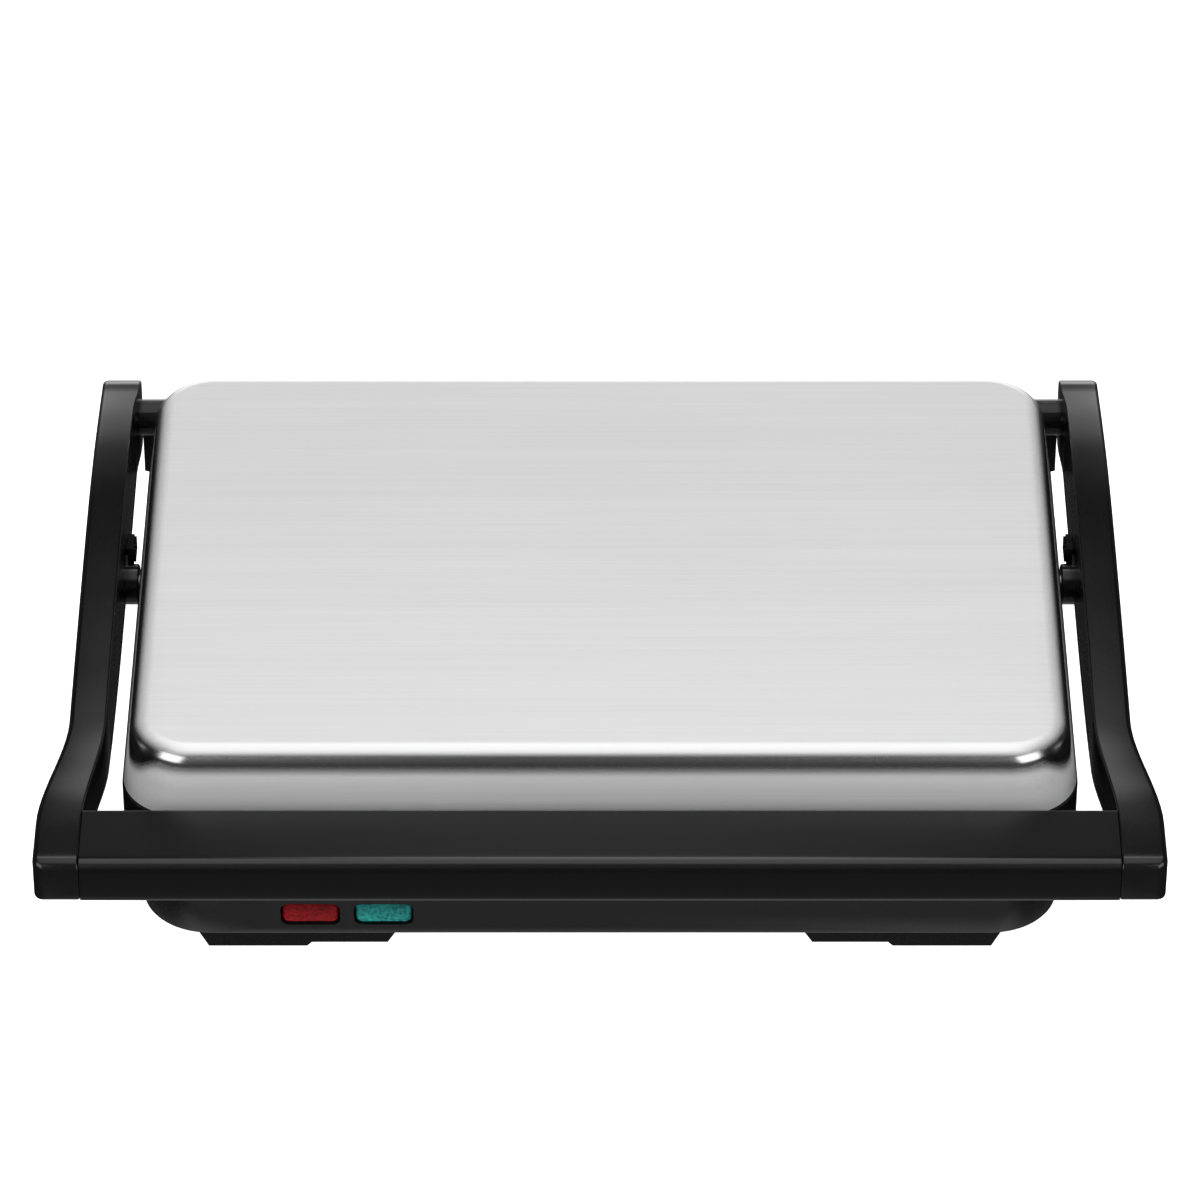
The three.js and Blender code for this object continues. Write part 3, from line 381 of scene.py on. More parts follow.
def amount(name, description, default):
    return bpy.props.FloatProperty(
        name=name, description=description, default=default, min=0.0, max=1.0, subtype="FACTOR"
    )


class PRESS_PG_finish(bpy.types.PropertyGroup):
    steel: tint("Steel", "Colour of the brushed lid", (0.83, 0.83, 0.833))
    steel_roughness: amount("Steel roughness", "Blur of the lid's reflections", 0.42)
    plastic: tint("Black plastic", "Colour of the mouldings", (0.0032, 0.0032, 0.0033))
    plastic_roughness: amount("Plastic roughness", "Blur of the mouldings' reflections", 0.18)
    grip: tint("Grip", "Colour of the handle bar", (0.0065, 0.0065, 0.0067))
    grip_roughness: amount("Grip roughness", "Blur of the bar's reflections", 0.38)
    coating: tint("Plate coating", "Colour of the non-stick plates", (0.02, 0.02, 0.021))
    power_lens: tint("Power lens", "Colour of the red lamp lens", (0.11, 0.001, 0.002))
    ready_lens: tint("Ready lens", "Colour of the blue-green lamp lens", (0.004, 0.09, 0.085))


class PRESS_PG_forms(bpy.types.PropertyGroup):
    lid_fillet: length("Lid fillet", "Radius between the lid's top and its sides", 5.5)
    lid_corner: length("Lid corner", "Radius of the lid's upright corners at the rim", 16.6)
    lid_side_draft: length("Lid side draft", "How far the lid's left and right sides lean in", 2.1)
    lid_end_draft: length("Lid end draft", "How far the lid's front and back lean in", 0.2)
    sheet: length("Sheet", "Thickness of the lid's steel", 0.9)
    edge: length("Moulded edge", "Small rounding of moulded edges", 0.9)
    bar_fall: length("Bar fall", "How far the bar's top falls from its rear to its front", 0.95)
    bar_top_round: length("Bar top rounding", "Radius of the bar's upper front edge", 3.2)
    bar_low_round: length("Bar low rounding", "Radius of the bar's lower front edge", 2.6)
    bar_round: length("Bar rounding", "Radius of the bar's other edges", 1.6)
    arm_edge: length("Arm edge", "Rounding of the arm's outer edges", 1.5)
    arm_front: length("Arm front corner", "Radius of the arm's outer front corner", 3.2)
    arm_rear: length("Arm rear corners", "Radius of the arm's rear corners seen from above", 3.4)


class PRESS_PG_stage(bpy.types.PropertyGroup):
    elevation: bpy.props.FloatProperty(
        name="Elevation",
        description="Height of the camera above the horizon",
        default=math.radians(37.5),
        subtype="ANGLE",
    )
    distance: length("Distance", "From the camera to its target", 1897.0)
    focal: bpy.props.FloatProperty(
        name="Focal length", description="Lens on a 36 mm sensor", default=207.2, subtype="DISTANCE_CAMERA"
    )
    floor: tint("Floor", "Colour of the studio floor", (0.9, 0.9, 0.9))


# ---- Finishes ----------------------------------------------------------------


# Brushing runs along X, so its noise is stretched in that direction.
BRUSHING = (10.0, 1500.0, 1500.0)
BROAD_BRUSHING = (4.0, 180.0, 180.0)
SMEARS = (9.0, 14.0, 14.0)
# How far the drawn bend reaches below and above the start of the fillet, and where it ends below the top.
BEND_BELOW, BEND_ABOVE = 2.4 * MM, 2.2 * MM
BEND_FADE, BEND_END = 2.2 * MM, 0.3 * MM
# At the lid's corners the bend's polish and painted shade come down by this much, growing in over these
# stretches.
CORNER_DROP = 5.0 * MM
CORNER_ACROSS = (6.0 * MM, 14.0 * MM)
CORNER_AHEAD = (0.0, 6.0 * MM)
# The front edge of the bar, which has a polish from use and, with the front face, a colour darkened as
# painted shade, fades out between these depths.
POLISH_SHADE_FULL, POLISH_SHADE_END = 2.6 * MM, 4.2 * MM


def shade(colour, share):
    """A colour made darker or brighter by a share, up to full brightness."""
    return tuple(min(channel * share, 1.0) for channel in colour)


def bend_polish_and_shade(surface, fillet, corner_radius):
    """1 where the steel was drawn round the lid's upper edge, lower down at the lid's corners; there it has
    a polish, and its colour is darkened as painted shade.
    """
    across = surface.along(0).size() - COVER_HIGH.x + corner_radius
    ahead = (surface.along(1) - CENTRE_Y).size() - (COVER_HIGH.y - CENTRE_Y) + corner_radius
    corner = across.step(*CORNER_ACROSS) * ahead.step(*CORNER_AHEAD)
    level = surface.along(2) + corner * CORNER_DROP
    above_foot = level.step(COVER_HIGH.z - fillet - BEND_BELOW, COVER_HIGH.z - fillet + BEND_ABOVE)
    below_top = 1.0 - surface.along(2).step(COVER_HIGH.z - BEND_FADE, COVER_HIGH.z - BEND_END)
    return (above_foot * below_top).clamped()


def brushed_steel(name, colour, roughness):
    """Sheet brushed from side to side, satin on its upright faces and given a polish by the draw at its
    bend, where its colour is darkened as painted shade.
    """
    surface = Surface(name)
    forms = bpy.context.scene.press_forms
    lines = surface.noise(surface.place(scale=BRUSHING), scale=1.0, detail=4.0, rough=0.6)
    broad = surface.noise(surface.place(scale=BROAD_BRUSHING), scale=1.0, detail=2.0)
    smear = surface.noise(surface.place(scale=SMEARS), scale=1.0, detail=2.0)
    streak = (lines - 0.5) * 0.5 + (broad - 0.5) * 0.2
    streaked = surface.mix((streak + 0.5).clamped(), shade(colour, 0.84), shade(colour, 1.14))
    bend = bend_polish_and_shade(surface, forms.lid_fillet, forms.lid_corner)
    # Painted shade: the bend's colour is darkened, reaching lower at the corners, to tone the reflections
    # there; the higher metallic and lower roughness are the polish.
    surface.set(
        Base_Color=surface.mix(bend, streaked, shade(colour, 0.6)),
        Metallic=(0.62 + bend * 0.38).clamped(),
        Roughness=(streak * 0.15 + (smear - 0.5) * 0.05 + roughness - bend * 0.2).clamped(),
        Normal=surface.bump(lines, strength=0.12, distance=0.04 * MM),
    )
    return surface.material


def moulded_plastic(name, colour, roughness, grain=2200.0):
    """Black moulding with a fine spark-eroded grain and slight shine changes."""
    surface = Surface(name)
    where = surface.place()
    speck = surface.noise(where, scale=grain, detail=2.0)
    cloud = surface.noise(where, scale=38.0, detail=2.0)
    surface.set(
        Base_Color=surface.mix((cloud * 0.5 + speck * 0.3).clamped(), colour, shade(colour, 1.35)),
        Roughness=((cloud - 0.5) * 0.06 + (speck - 0.5) * 0.1 + roughness).clamped(),
        Normal=surface.bump(speck, strength=0.22, distance=0.03 * MM),
    )
    return surface.material


def satin_grip(name, colour, roughness):
    """The handle bar's moulding: satin, with a polish from use on its front edge, and darker in colour
    there and on its front face as painted shade.
    """
    surface = Surface(name)
    where = surface.place()
    speck = surface.noise(where, scale=2000.0, detail=2.0)
    cloud = surface.noise(where, scale=30.0, detail=2.0)
    polish_and_front_shade = 1.0 - surface.along(1).step(BAR_LOW.y + POLISH_SHADE_FULL, BAR_LOW.y + POLISH_SHADE_END)
    satin = surface.mix((cloud * 0.5 + speck * 0.3).clamped(), colour, shade(colour, 1.3))
    # Painted shade: the front edge and front face are darkened in colour; the coat there is the polish.
    surface.set(
        Base_Color=surface.mix(polish_and_front_shade, satin, shade(colour, 0.25)),
        Coat_Weight=polish_and_front_shade,
        Roughness=((cloud - 0.5) * 0.05 + (speck - 0.5) * 0.1 + roughness).clamped(),
        Normal=surface.bump(speck, strength=0.2, distance=0.03 * MM),
    )
    surface.set(Specular_IOR_Level=0.2, Coat_Roughness=0.19)
    return surface.material


def nonstick(name, colour):
    """Dark coating with a faint sparkle over cast aluminium."""
    surface = Surface(name)
    where = surface.place()
    speck = surface.noise(where, scale=1500.0, detail=2.0)
    fleck = speck.step(0.66, 0.74)
    surface.set(
        Base_Color=surface.mix(fleck * 0.5, colour, (0.16, 0.16, 0.165)),
        Roughness=((speck - 0.5) * 0.2 + 0.42).clamped(),
        Normal=surface.bump(surface.noise(where, scale=700.0), strength=0.25, distance=0.06 * MM),
    )
    return surface.material


def dull_metal(name, colour, roughness, spots=260.0):
    """Plated or aluminised steel with a faint spangle."""
    surface = Surface(name)
    where = surface.place()
    spangle = surface.cells(where, scale=spots)
    surface.set(
        Base_Color=surface.mix((spangle * 0.8).clamped(), colour, shade(colour, 0.78)),
        Metallic=1.0,
        Roughness=((spangle - 0.5) * 0.12 + roughness).clamped(),
        Normal=surface.bump(surface.noise(where, scale=900.0), strength=0.1, distance=0.04 * MM),
    )
    return surface.material


def soft_rubber(name):
    """Black rubber, dusty in patches."""
    surface = Surface(name)
    where = surface.place()
    dust = surface.noise(where, scale=420.0)
    surface.set(
        Base_Color=surface.mix(dust.step(0.45, 0.8) * 0.35, (0.013, 0.013, 0.013), (0.05, 0.05, 0.05)),
        Roughness=((dust - 0.5) * 0.15 + 0.78).clamped(),
        Normal=surface.bump(surface.noise(where, scale=1600.0), strength=0.3, distance=0.05 * MM),
    )
    return surface.material


def fired_ceramic(name):
    """Unglazed white ceramic, lightly mottled."""
    surface = Surface(name)
    where = surface.place()
    mottle = surface.noise(where, scale=160.0)
    surface.set(
        Base_Color=surface.mix(mottle, (0.72, 0.68, 0.6), (0.82, 0.79, 0.72)),
        Roughness=((mottle - 0.5) * 0.2 + 0.5).clamped(),
        Normal=surface.bump(surface.noise(where, scale=1100.0), strength=0.2, distance=0.05 * MM),
    )
    return surface.material


def lamp_lens(name, colour, glint):
    """Clear coloured moulding with small prisms behind its face, whose glints are painted into its colour
    and glow; darker towards its top as painted shade, and less glossy there.
    """
    surface = Surface(name)
    prisms = surface.cells(surface.place(turn=(0.0, 0.0, 0.7)), scale=900.0, distance="MANHATTAN")
    patches = surface.noise(surface.place(), scale=260.0, detail=2.0)
    # Painted glints: the prisms' pattern turns the colour between a dark one and a brighter glint colour,
    # and the glow between dark and full.
    depth = (prisms * 0.8 + (patches - 0.5) * 1.3).clamped()
    dark = shade(colour, 0.3)
    # Painted shade: colour and glow darken towards the lens's top.
    rise = surface.along(2).step(LENS_LOW.z, LENS_HIGH.z)
    shaded = rise * 0.7
    surface.set(
        Base_Color=surface.mix(shaded, surface.mix(depth, dark, glint), dark),
        Emission_Color=surface.mix(shaded, surface.mix(depth, dark, colour), dark),
        Coat_Weight=(1.0 - rise) * 0.4,
        Roughness=((prisms - 0.5) * 0.1 + 0.16).clamped(),
        Normal=surface.bump(prisms, strength=0.35, distance=0.12 * MM),
    )
    surface.set(Emission_Strength=0.05, Coat_Roughness=0.06, Specular_IOR_Level=0.15)
    return surface.material


def neon_glass(name):
    """The half-clear glass of the small lamps behind the lenses."""
    surface = Surface(name)
    cloud = surface.noise(surface.place(), scale=500.0)
    surface.set(
        Base_Color=surface.mix(cloud, (0.75, 0.55, 0.4), (0.9, 0.82, 0.72)),
        Roughness=((cloud - 0.5) * 0.1 + 0.12).clamped(),
        Alpha=(cloud * 0.2 + 0.5).clamped(),
    )
    return surface.material


def floor_paint(name, colour):
    """Pale paint that glows, so that the floor stays evenly white."""
    surface = Surface(name)
    cloud = surface.noise(surface.place(), scale=2.0)
    surface.set(Base_Color=surface.mix(cloud, colour, shade(colour, 0.985)), Roughness=0.7)
    surface.set(Emission_Color=(1.0, 1.0, 1.0), Emission_Strength=1.0)
    return surface.material


MADE = {}


def make_finish(key, look):
    """A new material of that name, in the colours of the user's settings."""
    steel, plastic, grip = tuple(look.steel), tuple(look.plastic), tuple(look.grip)
    inner_roughness = look.plastic_roughness + 0.08
    makers = {
        "steel": lambda: brushed_steel("brushed steel", steel, look.steel_roughness),
        "plastic": lambda: moulded_plastic("black moulding", plastic, look.plastic_roughness),
        "grip": lambda: satin_grip("satin grip", grip, look.grip_roughness),
        "inner": lambda: moulded_plastic("inner moulding", plastic, inner_roughness, grain=900.0),
        "coating": lambda: nonstick("plate coating", tuple(look.coating)),
        "zinc": lambda: dull_metal("zinc plate", (0.56, 0.56, 0.57), 0.34),
        "foil": lambda: dull_metal("aluminised sheet", (0.62, 0.62, 0.62), 0.42, spots=90.0),
        "sheath": lambda: dull_metal("element sheath", (0.14, 0.135, 0.12), 0.5, spots=400.0),
        "rubber": lambda: soft_rubber("foot rubber"),
        "ceramic": lambda: fired_ceramic("ceramic"),
        "power": lambda: lamp_lens("power lens", tuple(look.power_lens), (0.15, 0.001, 0.003)),
        "ready": lambda: lamp_lens("ready lens", tuple(look.ready_lens), (0.01, 0.17, 0.16)),
        "neon": lambda: neon_glass("neon glass"),
    }
    return makers[key]()


def finish(key):
    """The material of that name, made once."""
    if key not in MADE:
        MADE[key] = make_finish(key, bpy.context.scene.press_finish)
    return MADE[key]


# ---- Measures shared by the pieces -------------------------------------------

RIM_LOW, RIM_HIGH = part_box("lid_frame")
COVER_LOW, COVER_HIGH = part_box("lid_steel_cover")
BASE_LOW, BASE_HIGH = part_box("base_housing")
BAR_LOW, BAR_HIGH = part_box("handle_bar")
LENS_LOW, LENS_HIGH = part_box("power_lamp_lens")
JOINTS = {joint["name"]: joint for joint in FRAME["joints"]}
HINGE = Vector(JOINTS["handle_hinge"]["pos_m"])
PIVOT = Vector(JOINTS["lid_float"]["pos_m"])
CENTRE_Y = (RIM_LOW.y + RIM_HIGH.y) / 2
# How far the base narrows towards the table, at its sides and at its front and back.
BASE_TAPER, BASE_END_TAPER = 3.2 * MM, 6.7 * MM
# Pieces that touch on the real press stand this far apart.
SEAT_GAP = 0.3 * MM
# Radius of the upright corners of the base and of the lid's frame.
PLAN_CORNER = 17 * MM
PLAN_CORNER_STEPS = 18
# A moulded edge bends half way round at this share of its rounding.
EDGE_BEND = 0.3
# The ledge for a grill plate runs round inside the base and inside the lid's frame.
LEDGE_WIDTH = 4 * MM
LEDGE_TOP, LEDGE_UNDER = 1.7 * MM, 3.9 * MM


# ---- Lid ---------------------------------------------------------------------

RIM_ROLL, RIM_ROLL_INSIDE = 0.35 * MM, 0.2 * MM
COVER_SIDE_STEPS = 4
COVER_FILLET_STEPS = 14
COVER_CORNER_STEPS = 20
COVER_LEAST_CORNER = 1.5 * MM
FRAME_WALL = 2.6 * MM
# The frame's upper edge is rounded by this share of its lower edge.
UPPER_EDGE = 0.5
# The frame's lip stands inside the cover, between these distances from the rim's outer face.
LIP_OUTER, LIP_INNER = 3.0 * MM, 4.6 * MM
LIP_FOOT = 5 * MM


def build_lid_cover(forms):
    """The drawn steel cover, hollow inside, with a tight roll at its rim."""
    half_x = (COVER_HIGH.x - COVER_LOW.x) / 2
    half_y = (COVER_HIGH.y - COVER_LOW.y) / 2
    top = COVER_HIGH.z
    fillet_z = top - forms.lid_fillet
    # Each level is how far it leans in as a share of the draft, how far it rounds in, and its height.
    levels = [(0.0, RIM_ROLL, COVER_LOW.z), (0.0, 0.0, COVER_LOW.z + RIM_ROLL)]
    for i in range(1, COVER_SIDE_STEPS):
        share = i / COVER_SIDE_STEPS
        levels.append((share, 0.0, lerp(COVER_LOW.z, fillet_z, share)))
    for i in range(COVER_FILLET_STEPS + 1):
        angle = i / COVER_FILLET_STEPS * math.pi / 2
        inward = forms.lid_fillet * (1 - math.cos(angle))
        levels.append((1.0, inward, fillet_z + forms.lid_fillet * math.sin(angle)))

    def ring(lean, inward, z, wall=0.0):
        side = forms.lid_side_draft * lean + inward + wall
        end = forms.lid_end_draft * lean + inward + wall
        corner = max(forms.lid_corner - end, COVER_LEAST_CORNER)
        return plan_ring(half_x - side, half_y - end, corner, z - wall, CENTRE_Y, COVER_CORNER_STEPS)

    outer = [ring(*level) for level in levels]
    inner = [ring(*level, forms.sheet) for level in levels[2:]]
    inner.insert(0, ring(0.0, RIM_ROLL_INSIDE, COVER_LOW.z + forms.sheet, forms.sheet))
    return loft("lid_cover", list(reversed(inner)) + outer)


def build_lid_frame(forms):
    """The moulded frame: its rim shows as a thin black line under the steel."""
    half_x = (RIM_HIGH.x - RIM_LOW.x) / 2
    half_y = (RIM_HIGH.y - RIM_LOW.y) / 2
    low = RIM_LOW.z
    top = COVER_LOW.z - SEAT_GAP
    edge = forms.edge
    upper = edge * UPPER_EDGE
    ledge = FRAME_WALL + LEDGE_WIDTH
    # Each level is how far it lies inside the rim's outer face, and its height.
    levels = [
        (FRAME_WALL, low),
        (edge, low),
        (edge * EDGE_BEND, low + edge * EDGE_BEND),
        (0.0, low + edge),
        (0.0, top - upper),
        (upper * EDGE_BEND, top - upper * EDGE_BEND),
        (upper, top),
        (LIP_OUTER, top),
        (LIP_OUTER, RIM_HIGH.z),
        (LIP_INNER, RIM_HIGH.z),
        (LIP_INNER, low + LIP_FOOT),
        (ledge, low + LEDGE_UNDER),
        (ledge, low + LEDGE_TOP),
        (FRAME_WALL, low + LEDGE_TOP),
    ]
    rings = [
        plan_ring(half_x - inset, half_y - inset, PLAN_CORNER - inset, z, CENTRE_Y, PLAN_CORNER_STEPS)
        for inset, z in levels
    ]
    return loft("lid_rim", rings, closed=True)


# ---- Base --------------------------------------------------------------------

BASE_WALL = 2.2 * MM
# The base's front and back lie this far inside the lid's rim.
BASE_SETBACK = 0.4 * MM
BASE_LEDGE_FOOT = 5.9 * MM
# How much larger the base's corners are at the table than at its top.
CORNER_GROWTH = 1 * MM
POST_WIDTH = 14 * MM
# The pads start this far ahead of the posts, and the cord's seat is this long, so both reach into the wall.
WALL_REACH = 6 * MM
# The seat ends this far short of the bushing's rear end, and is this much wider than the bushing.
SEAT_SHORT = 2.5 * MM
SEAT_RIM = 1 * MM
# The cord's bore has this radius, and is cut from ahead of the seat's end to behind it.
CORD_BORE = 5.7 * MM
BORE_AHEAD, BORE_BEHIND = 14 * MM, 2 * MM


def build_base(forms):
    """The base's outer shell, narrowing to the table, with the two lamp windows cut in its front."""
    half_x = (BASE_HIGH.x - BASE_LOW.x) / 2
    half_y = (RIM_HIGH.y - RIM_LOW.y) / 2 - BASE_SETBACK
    height = BASE_HIGH.z - BASE_LOW.z
    edge = forms.edge
    ledge = BASE_WALL + LEDGE_WIDTH

    def ring(z, inset):
        share = (BASE_HIGH.z - z) / height
        return plan_ring(
            half_x - BASE_TAPER * share - inset,
            half_y - BASE_END_TAPER * share - inset,
            PLAN_CORNER + CORNER_GROWTH * share - inset,
            z,
            CENTRE_Y,
            PLAN_CORNER_STEPS,
        )

    low, top = BASE_LOW.z, BASE_HIGH.z
    rings = [
        ring(low, BASE_WALL),
        ring(low, edge),
        ring(low + edge * EDGE_BEND, edge * EDGE_BEND),
        ring(low + edge, 0.0),
        ring(top - edge, 0.0),
        ring(top - edge * EDGE_BEND, edge * EDGE_BEND),
        ring(top, edge),
        ring(top, BASE_WALL),
        ring(top - LEDGE_TOP, BASE_WALL),
        ring(top - LEDGE_TOP, ledge),
        ring(top - LEDGE_UNDER, ledge),
        ring(top - BASE_LEDGE_FOOT, BASE_WALL),
    ]
    shell = loft("base_shell", rings, closed=True)
    for node in ("power_lamp_lens", "ready_lamp_lens"):
        cut_window(shell, node)
    add_rear_fittings(shell)
    return shell


def add_rear_fittings(shell):
    """The flat pads that the hinge posts bolt to, and the round seat of the cord's bushing."""
    for side in ("left", "right"):
        low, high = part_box(side + "_hinge_post")
        inner, outer = (low.x, low.x + POST_WIDTH) if side == "right" else (high.x - POST_WIDTH, high.x)
        pad = box_between(
            "pad",
            (inner, low.y - WALL_REACH, low.z),
            (outer, low.y - SEAT_GAP, BASE_HIGH.z - LEDGE_UNDER),
        )
        combine(shell, pad, "UNION")
    low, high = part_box("cord_bushing")
    x, z = (low.x + high.x) / 2, (low.z + high.z) / 2
    seat_y = high.y - SEAT_SHORT
    seat = rod_y("seat", high.x - x + SEAT_RIM, seat_y - WALL_REACH, seat_y, x, z)
    combine(shell, seat, "UNION")
    inlet = rod_y("inlet", CORD_BORE, seat_y - BORE_AHEAD, seat_y + BORE_BEHIND, x, z)
    combine(shell, inlet, "DIFFERENCE")


# ---- Lamp lenses -------------------------------------------------------------

LENS_DEPTH = 5.0 * MM
LENS_CORNER, LENS_LEAST_CORNER = 2.0 * MM, 0.3 * MM
LENS_CORNER_STEPS = 6
# The face's edge is rounded by this much, and its rounding is flattened by that share.
LENS_ROUND, LENS_FLATNESS = 0.9 * MM, 0.8
LENS_ROUND_STEPS = 5
# A window is wider than its lens by this gap all round, and cuts the wall between these depths.
WINDOW_GAP = 0.45 * MM
WINDOW_FRONT, WINDOW_REAR = -3 * MM, 6 * MM


def lens_frame(node):
    """Centre of a lens's front face, its half sizes, and the inward and upward directions."""
    low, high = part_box(node)
    slope = math.atan2(BASE_END_TAPER, BASE_HIGH.z - BASE_LOW.z)
    inward = Vector((0, math.cos(slope), math.sin(slope)))
    upward = Vector((0, -math.sin(slope), math.cos(slope)))
    centre = (low + high) / 2
    half_width = (high.x - low.x) / 2
    half_height = ((high.z - low.z) - LENS_DEPTH * math.sin(slope)) / math.cos(slope) / 2
    return centre - inward * LENS_DEPTH / 2, half_width, half_height, inward, upward


def window_rings(node, grow, depths):
    """Rounded rectangles on a lens's axis, each at a depth along it and with its own inset."""
    face, half_width, half_height, inward, upward = lens_frame(node)
    rings = []
    for depth, inset in depths:
        corner = max(LENS_CORNER + grow - inset, LENS_LEAST_CORNER)
        wide, tall = half_width + grow - inset, half_height + grow - inset
        flat = plan_ring(wide, tall, corner, 0.0, 0.0, steps=LENS_CORNER_STEPS)
        centre = face + inward * depth
        rings.append([centre + Vector((point[0], 0, 0)) + upward * point[1] for point in flat])
    return rings


def cut_window(shell, node):
    """Cuts the window that a lens stands in."""
    rings = window_rings(node, WINDOW_GAP, ((WINDOW_FRONT, 0.0), (WINDOW_REAR, 0.0)))
    combine(shell, loft("window", rings), "DIFFERENCE")


def build_lens(node, name):
    """A lamp lens with a softly rounded face."""
    depths = []
    for i in reversed(range(LENS_ROUND_STEPS + 1)):
        angle = i / LENS_ROUND_STEPS * math.pi / 2
        depth = LENS_ROUND * (1 - math.sin(angle)) * LENS_FLATNESS
        depths.append((depth, LENS_ROUND * (1 - math.cos(angle))))
    depths.append((LENS_DEPTH, 0.0))
    return loft(name, window_rings(node, 0.0, depths))


# ---- Handle ------------------------------------------------------------------


def curve_through(points):
    """A smooth curve through (y, z) points of rising y, read at any y."""

    def slope(i):
        """The curve's steepness at a point, from its two neighbours."""
        before = points[max(i - 1, 0)]
        after = points[min(i + 1, len(points) - 1)]
        return (after[1] - before[1]) / (after[0] - before[0])

    def value(y):
        """The curve's z at a y, by a cubic between the two points beside it."""
        i = 0
        while i < len(points) - 2 and y > points[i + 1][0]:
            i += 1
        (y0, z0), (y1, z1) = points[i], points[i + 1]
        span = y1 - y0
        t = min(max((y - y0) / span, 0.0), 1.0)
        rise, fall = slope(i) * span, slope(i + 1) * span
        return (
            z0 * (2 * t**3 - 3 * t**2 + 1)
            + z1 * (3 * t**2 - 2 * t**3)
            + rise * (t**3 - 2 * t**2 + t)
            + fall * (t**3 - t**2)
        )

    return value


BAR_FRONT_Y, BAR_REAR_Y = BAR_LOW.y, BAR_HIGH.y
BAR_LOW_Z, BAR_TOP_Z = BAR_LOW.z, BAR_HIGH.z
# The arms end in a half circle of this radius round the hinge, cut off where it is this tall either way.
ARM_END = 10.5 * MM
ARM_TIP_HALF = 0.5 * MM
ARM_INNER_X = 129.8 * MM
ARM_THICK = 9.8 * MM
ARM_INNER_EDGE = 0.6 * MM
ARM_EDGE_STEPS = 5
# An edge is rounded by no more than this share of the arm's height.
ARM_MOST_ROUND = 0.45
# Between these depths the arms flare out towards the front, more on their outside than on their inside.
FLARE_END_Y = RIM_LOW.y - 9 * MM
FLARE_START_Y = FLARE_END_Y + 38 * MM
FLARE_IN, FLARE_OUT = 4.5 * MM, 6.6 * MM
# The hub is this much wider on its inside, growing from this far ahead of the hinge.
HUB_WIDEN, HUB_REACH = 0.9 * MM, 13 * MM
# The inner face rounds off at the rear by this share of what the outer face does.
REAR_INNER_SHARE = 0.3

# Sections of the arm: round its front corner, along it, and round its rear end by degrees.
ARM_FRONT_STEPS = 9
ARM_STEPS = 64
ARM_END_DEGREES = (*range(6, 86, 6), 87.5)
# The first section lies this far behind the bar's front, and the next stretch this far behind the corner.
ARM_FIRST_BEHIND, ARM_CORNER_GAP = 0.02 * MM, 1.5 * MM

# The pocket leaves this wall above and below. Its cutter reaches past the arm's inner face and the cover.
POCKET_WALL = 1.8 * MM
POCKET_NEAR, POCKET_FAR = 1 * MM, 2 * MM
POCKET_STEPS = 32
PIVOT_BOSS_RADIUS = 5.6 * MM
# The boss starts this far outside the lid's rim and ends this far inside the arm's outer face.
BOSS_START, BOSS_END = 0.6 * MM, 1 * MM

# The seam between the bar and each arm, and the small broken edge there.
BAR_SEAM = 0.12 * MM
BAR_BREAK = 0.12 * MM
BAR_ROUND_STEPS = 11
# The cutter for the bar's recess starts this far below it.
RECESS_BELOW = 1 * MM

ARM_TOP = curve_through(
    [
        (BAR_FRONT_Y, BAR_TOP_Z),
        (BAR_REAR_Y, BAR_TOP_Z),
        (BAR_REAR_Y + 15 * MM, BAR_TOP_Z + 1.4 * MM),
        (BAR_REAR_Y + 30 * MM, BAR_TOP_Z + 2.9 * MM),
        (BAR_REAR_Y + 58 * MM, BAR_TOP_Z + 5.1 * MM),
        (PIVOT.y - 29 * MM, BAR_TOP_Z + 6.9 * MM),
        (PIVOT.y + 8 * MM, BAR_TOP_Z + 8.4 * MM),
        (HINGE.y - 36 * MM, BAR_TOP_Z + 7.6 * MM),
        (HINGE.y - 18 * MM, HINGE.z + ARM_END + 2.7 * MM),
        (HINGE.y, HINGE.z + ARM_END),
    ]
)
ARM_BOTTOM = curve_through(
    [
        (BAR_FRONT_Y, BAR_LOW_Z),
        (BAR_REAR_Y, BAR_LOW_Z),
        (BAR_REAR_Y + 30 * MM, BAR_LOW_Z - 0.6 * MM),
        (BAR_REAR_Y + 50 * MM, BAR_LOW_Z - 3.2 * MM),
        (BAR_REAR_Y + 77 * MM, BAR_LOW_Z - 5.1 * MM),
        (PIVOT.y - 9 * MM, BAR_LOW_Z - 5.4 * MM),
        (HINGE.y - 36 * MM, BAR_LOW_Z - 5.2 * MM),
        (HINGE.y, HINGE.z - ARM_END),
    ]
)


def round_drop(distance, radius):
    """How far a rounded edge falls away at a distance from the end."""
    if distance >= radius:
        return 0.0
    return radius - math.sqrt(max(radius**2 - (radius - distance) ** 2, 0.0))


def bar_drop(forms, y):
    """How far the top of the bar and of the arms beside it has fallen at this depth."""
    return forms.bar_fall * min(max((BAR_REAR_Y - y) / (BAR_REAR_Y - BAR_FRONT_Y), 0.0), 1.0)


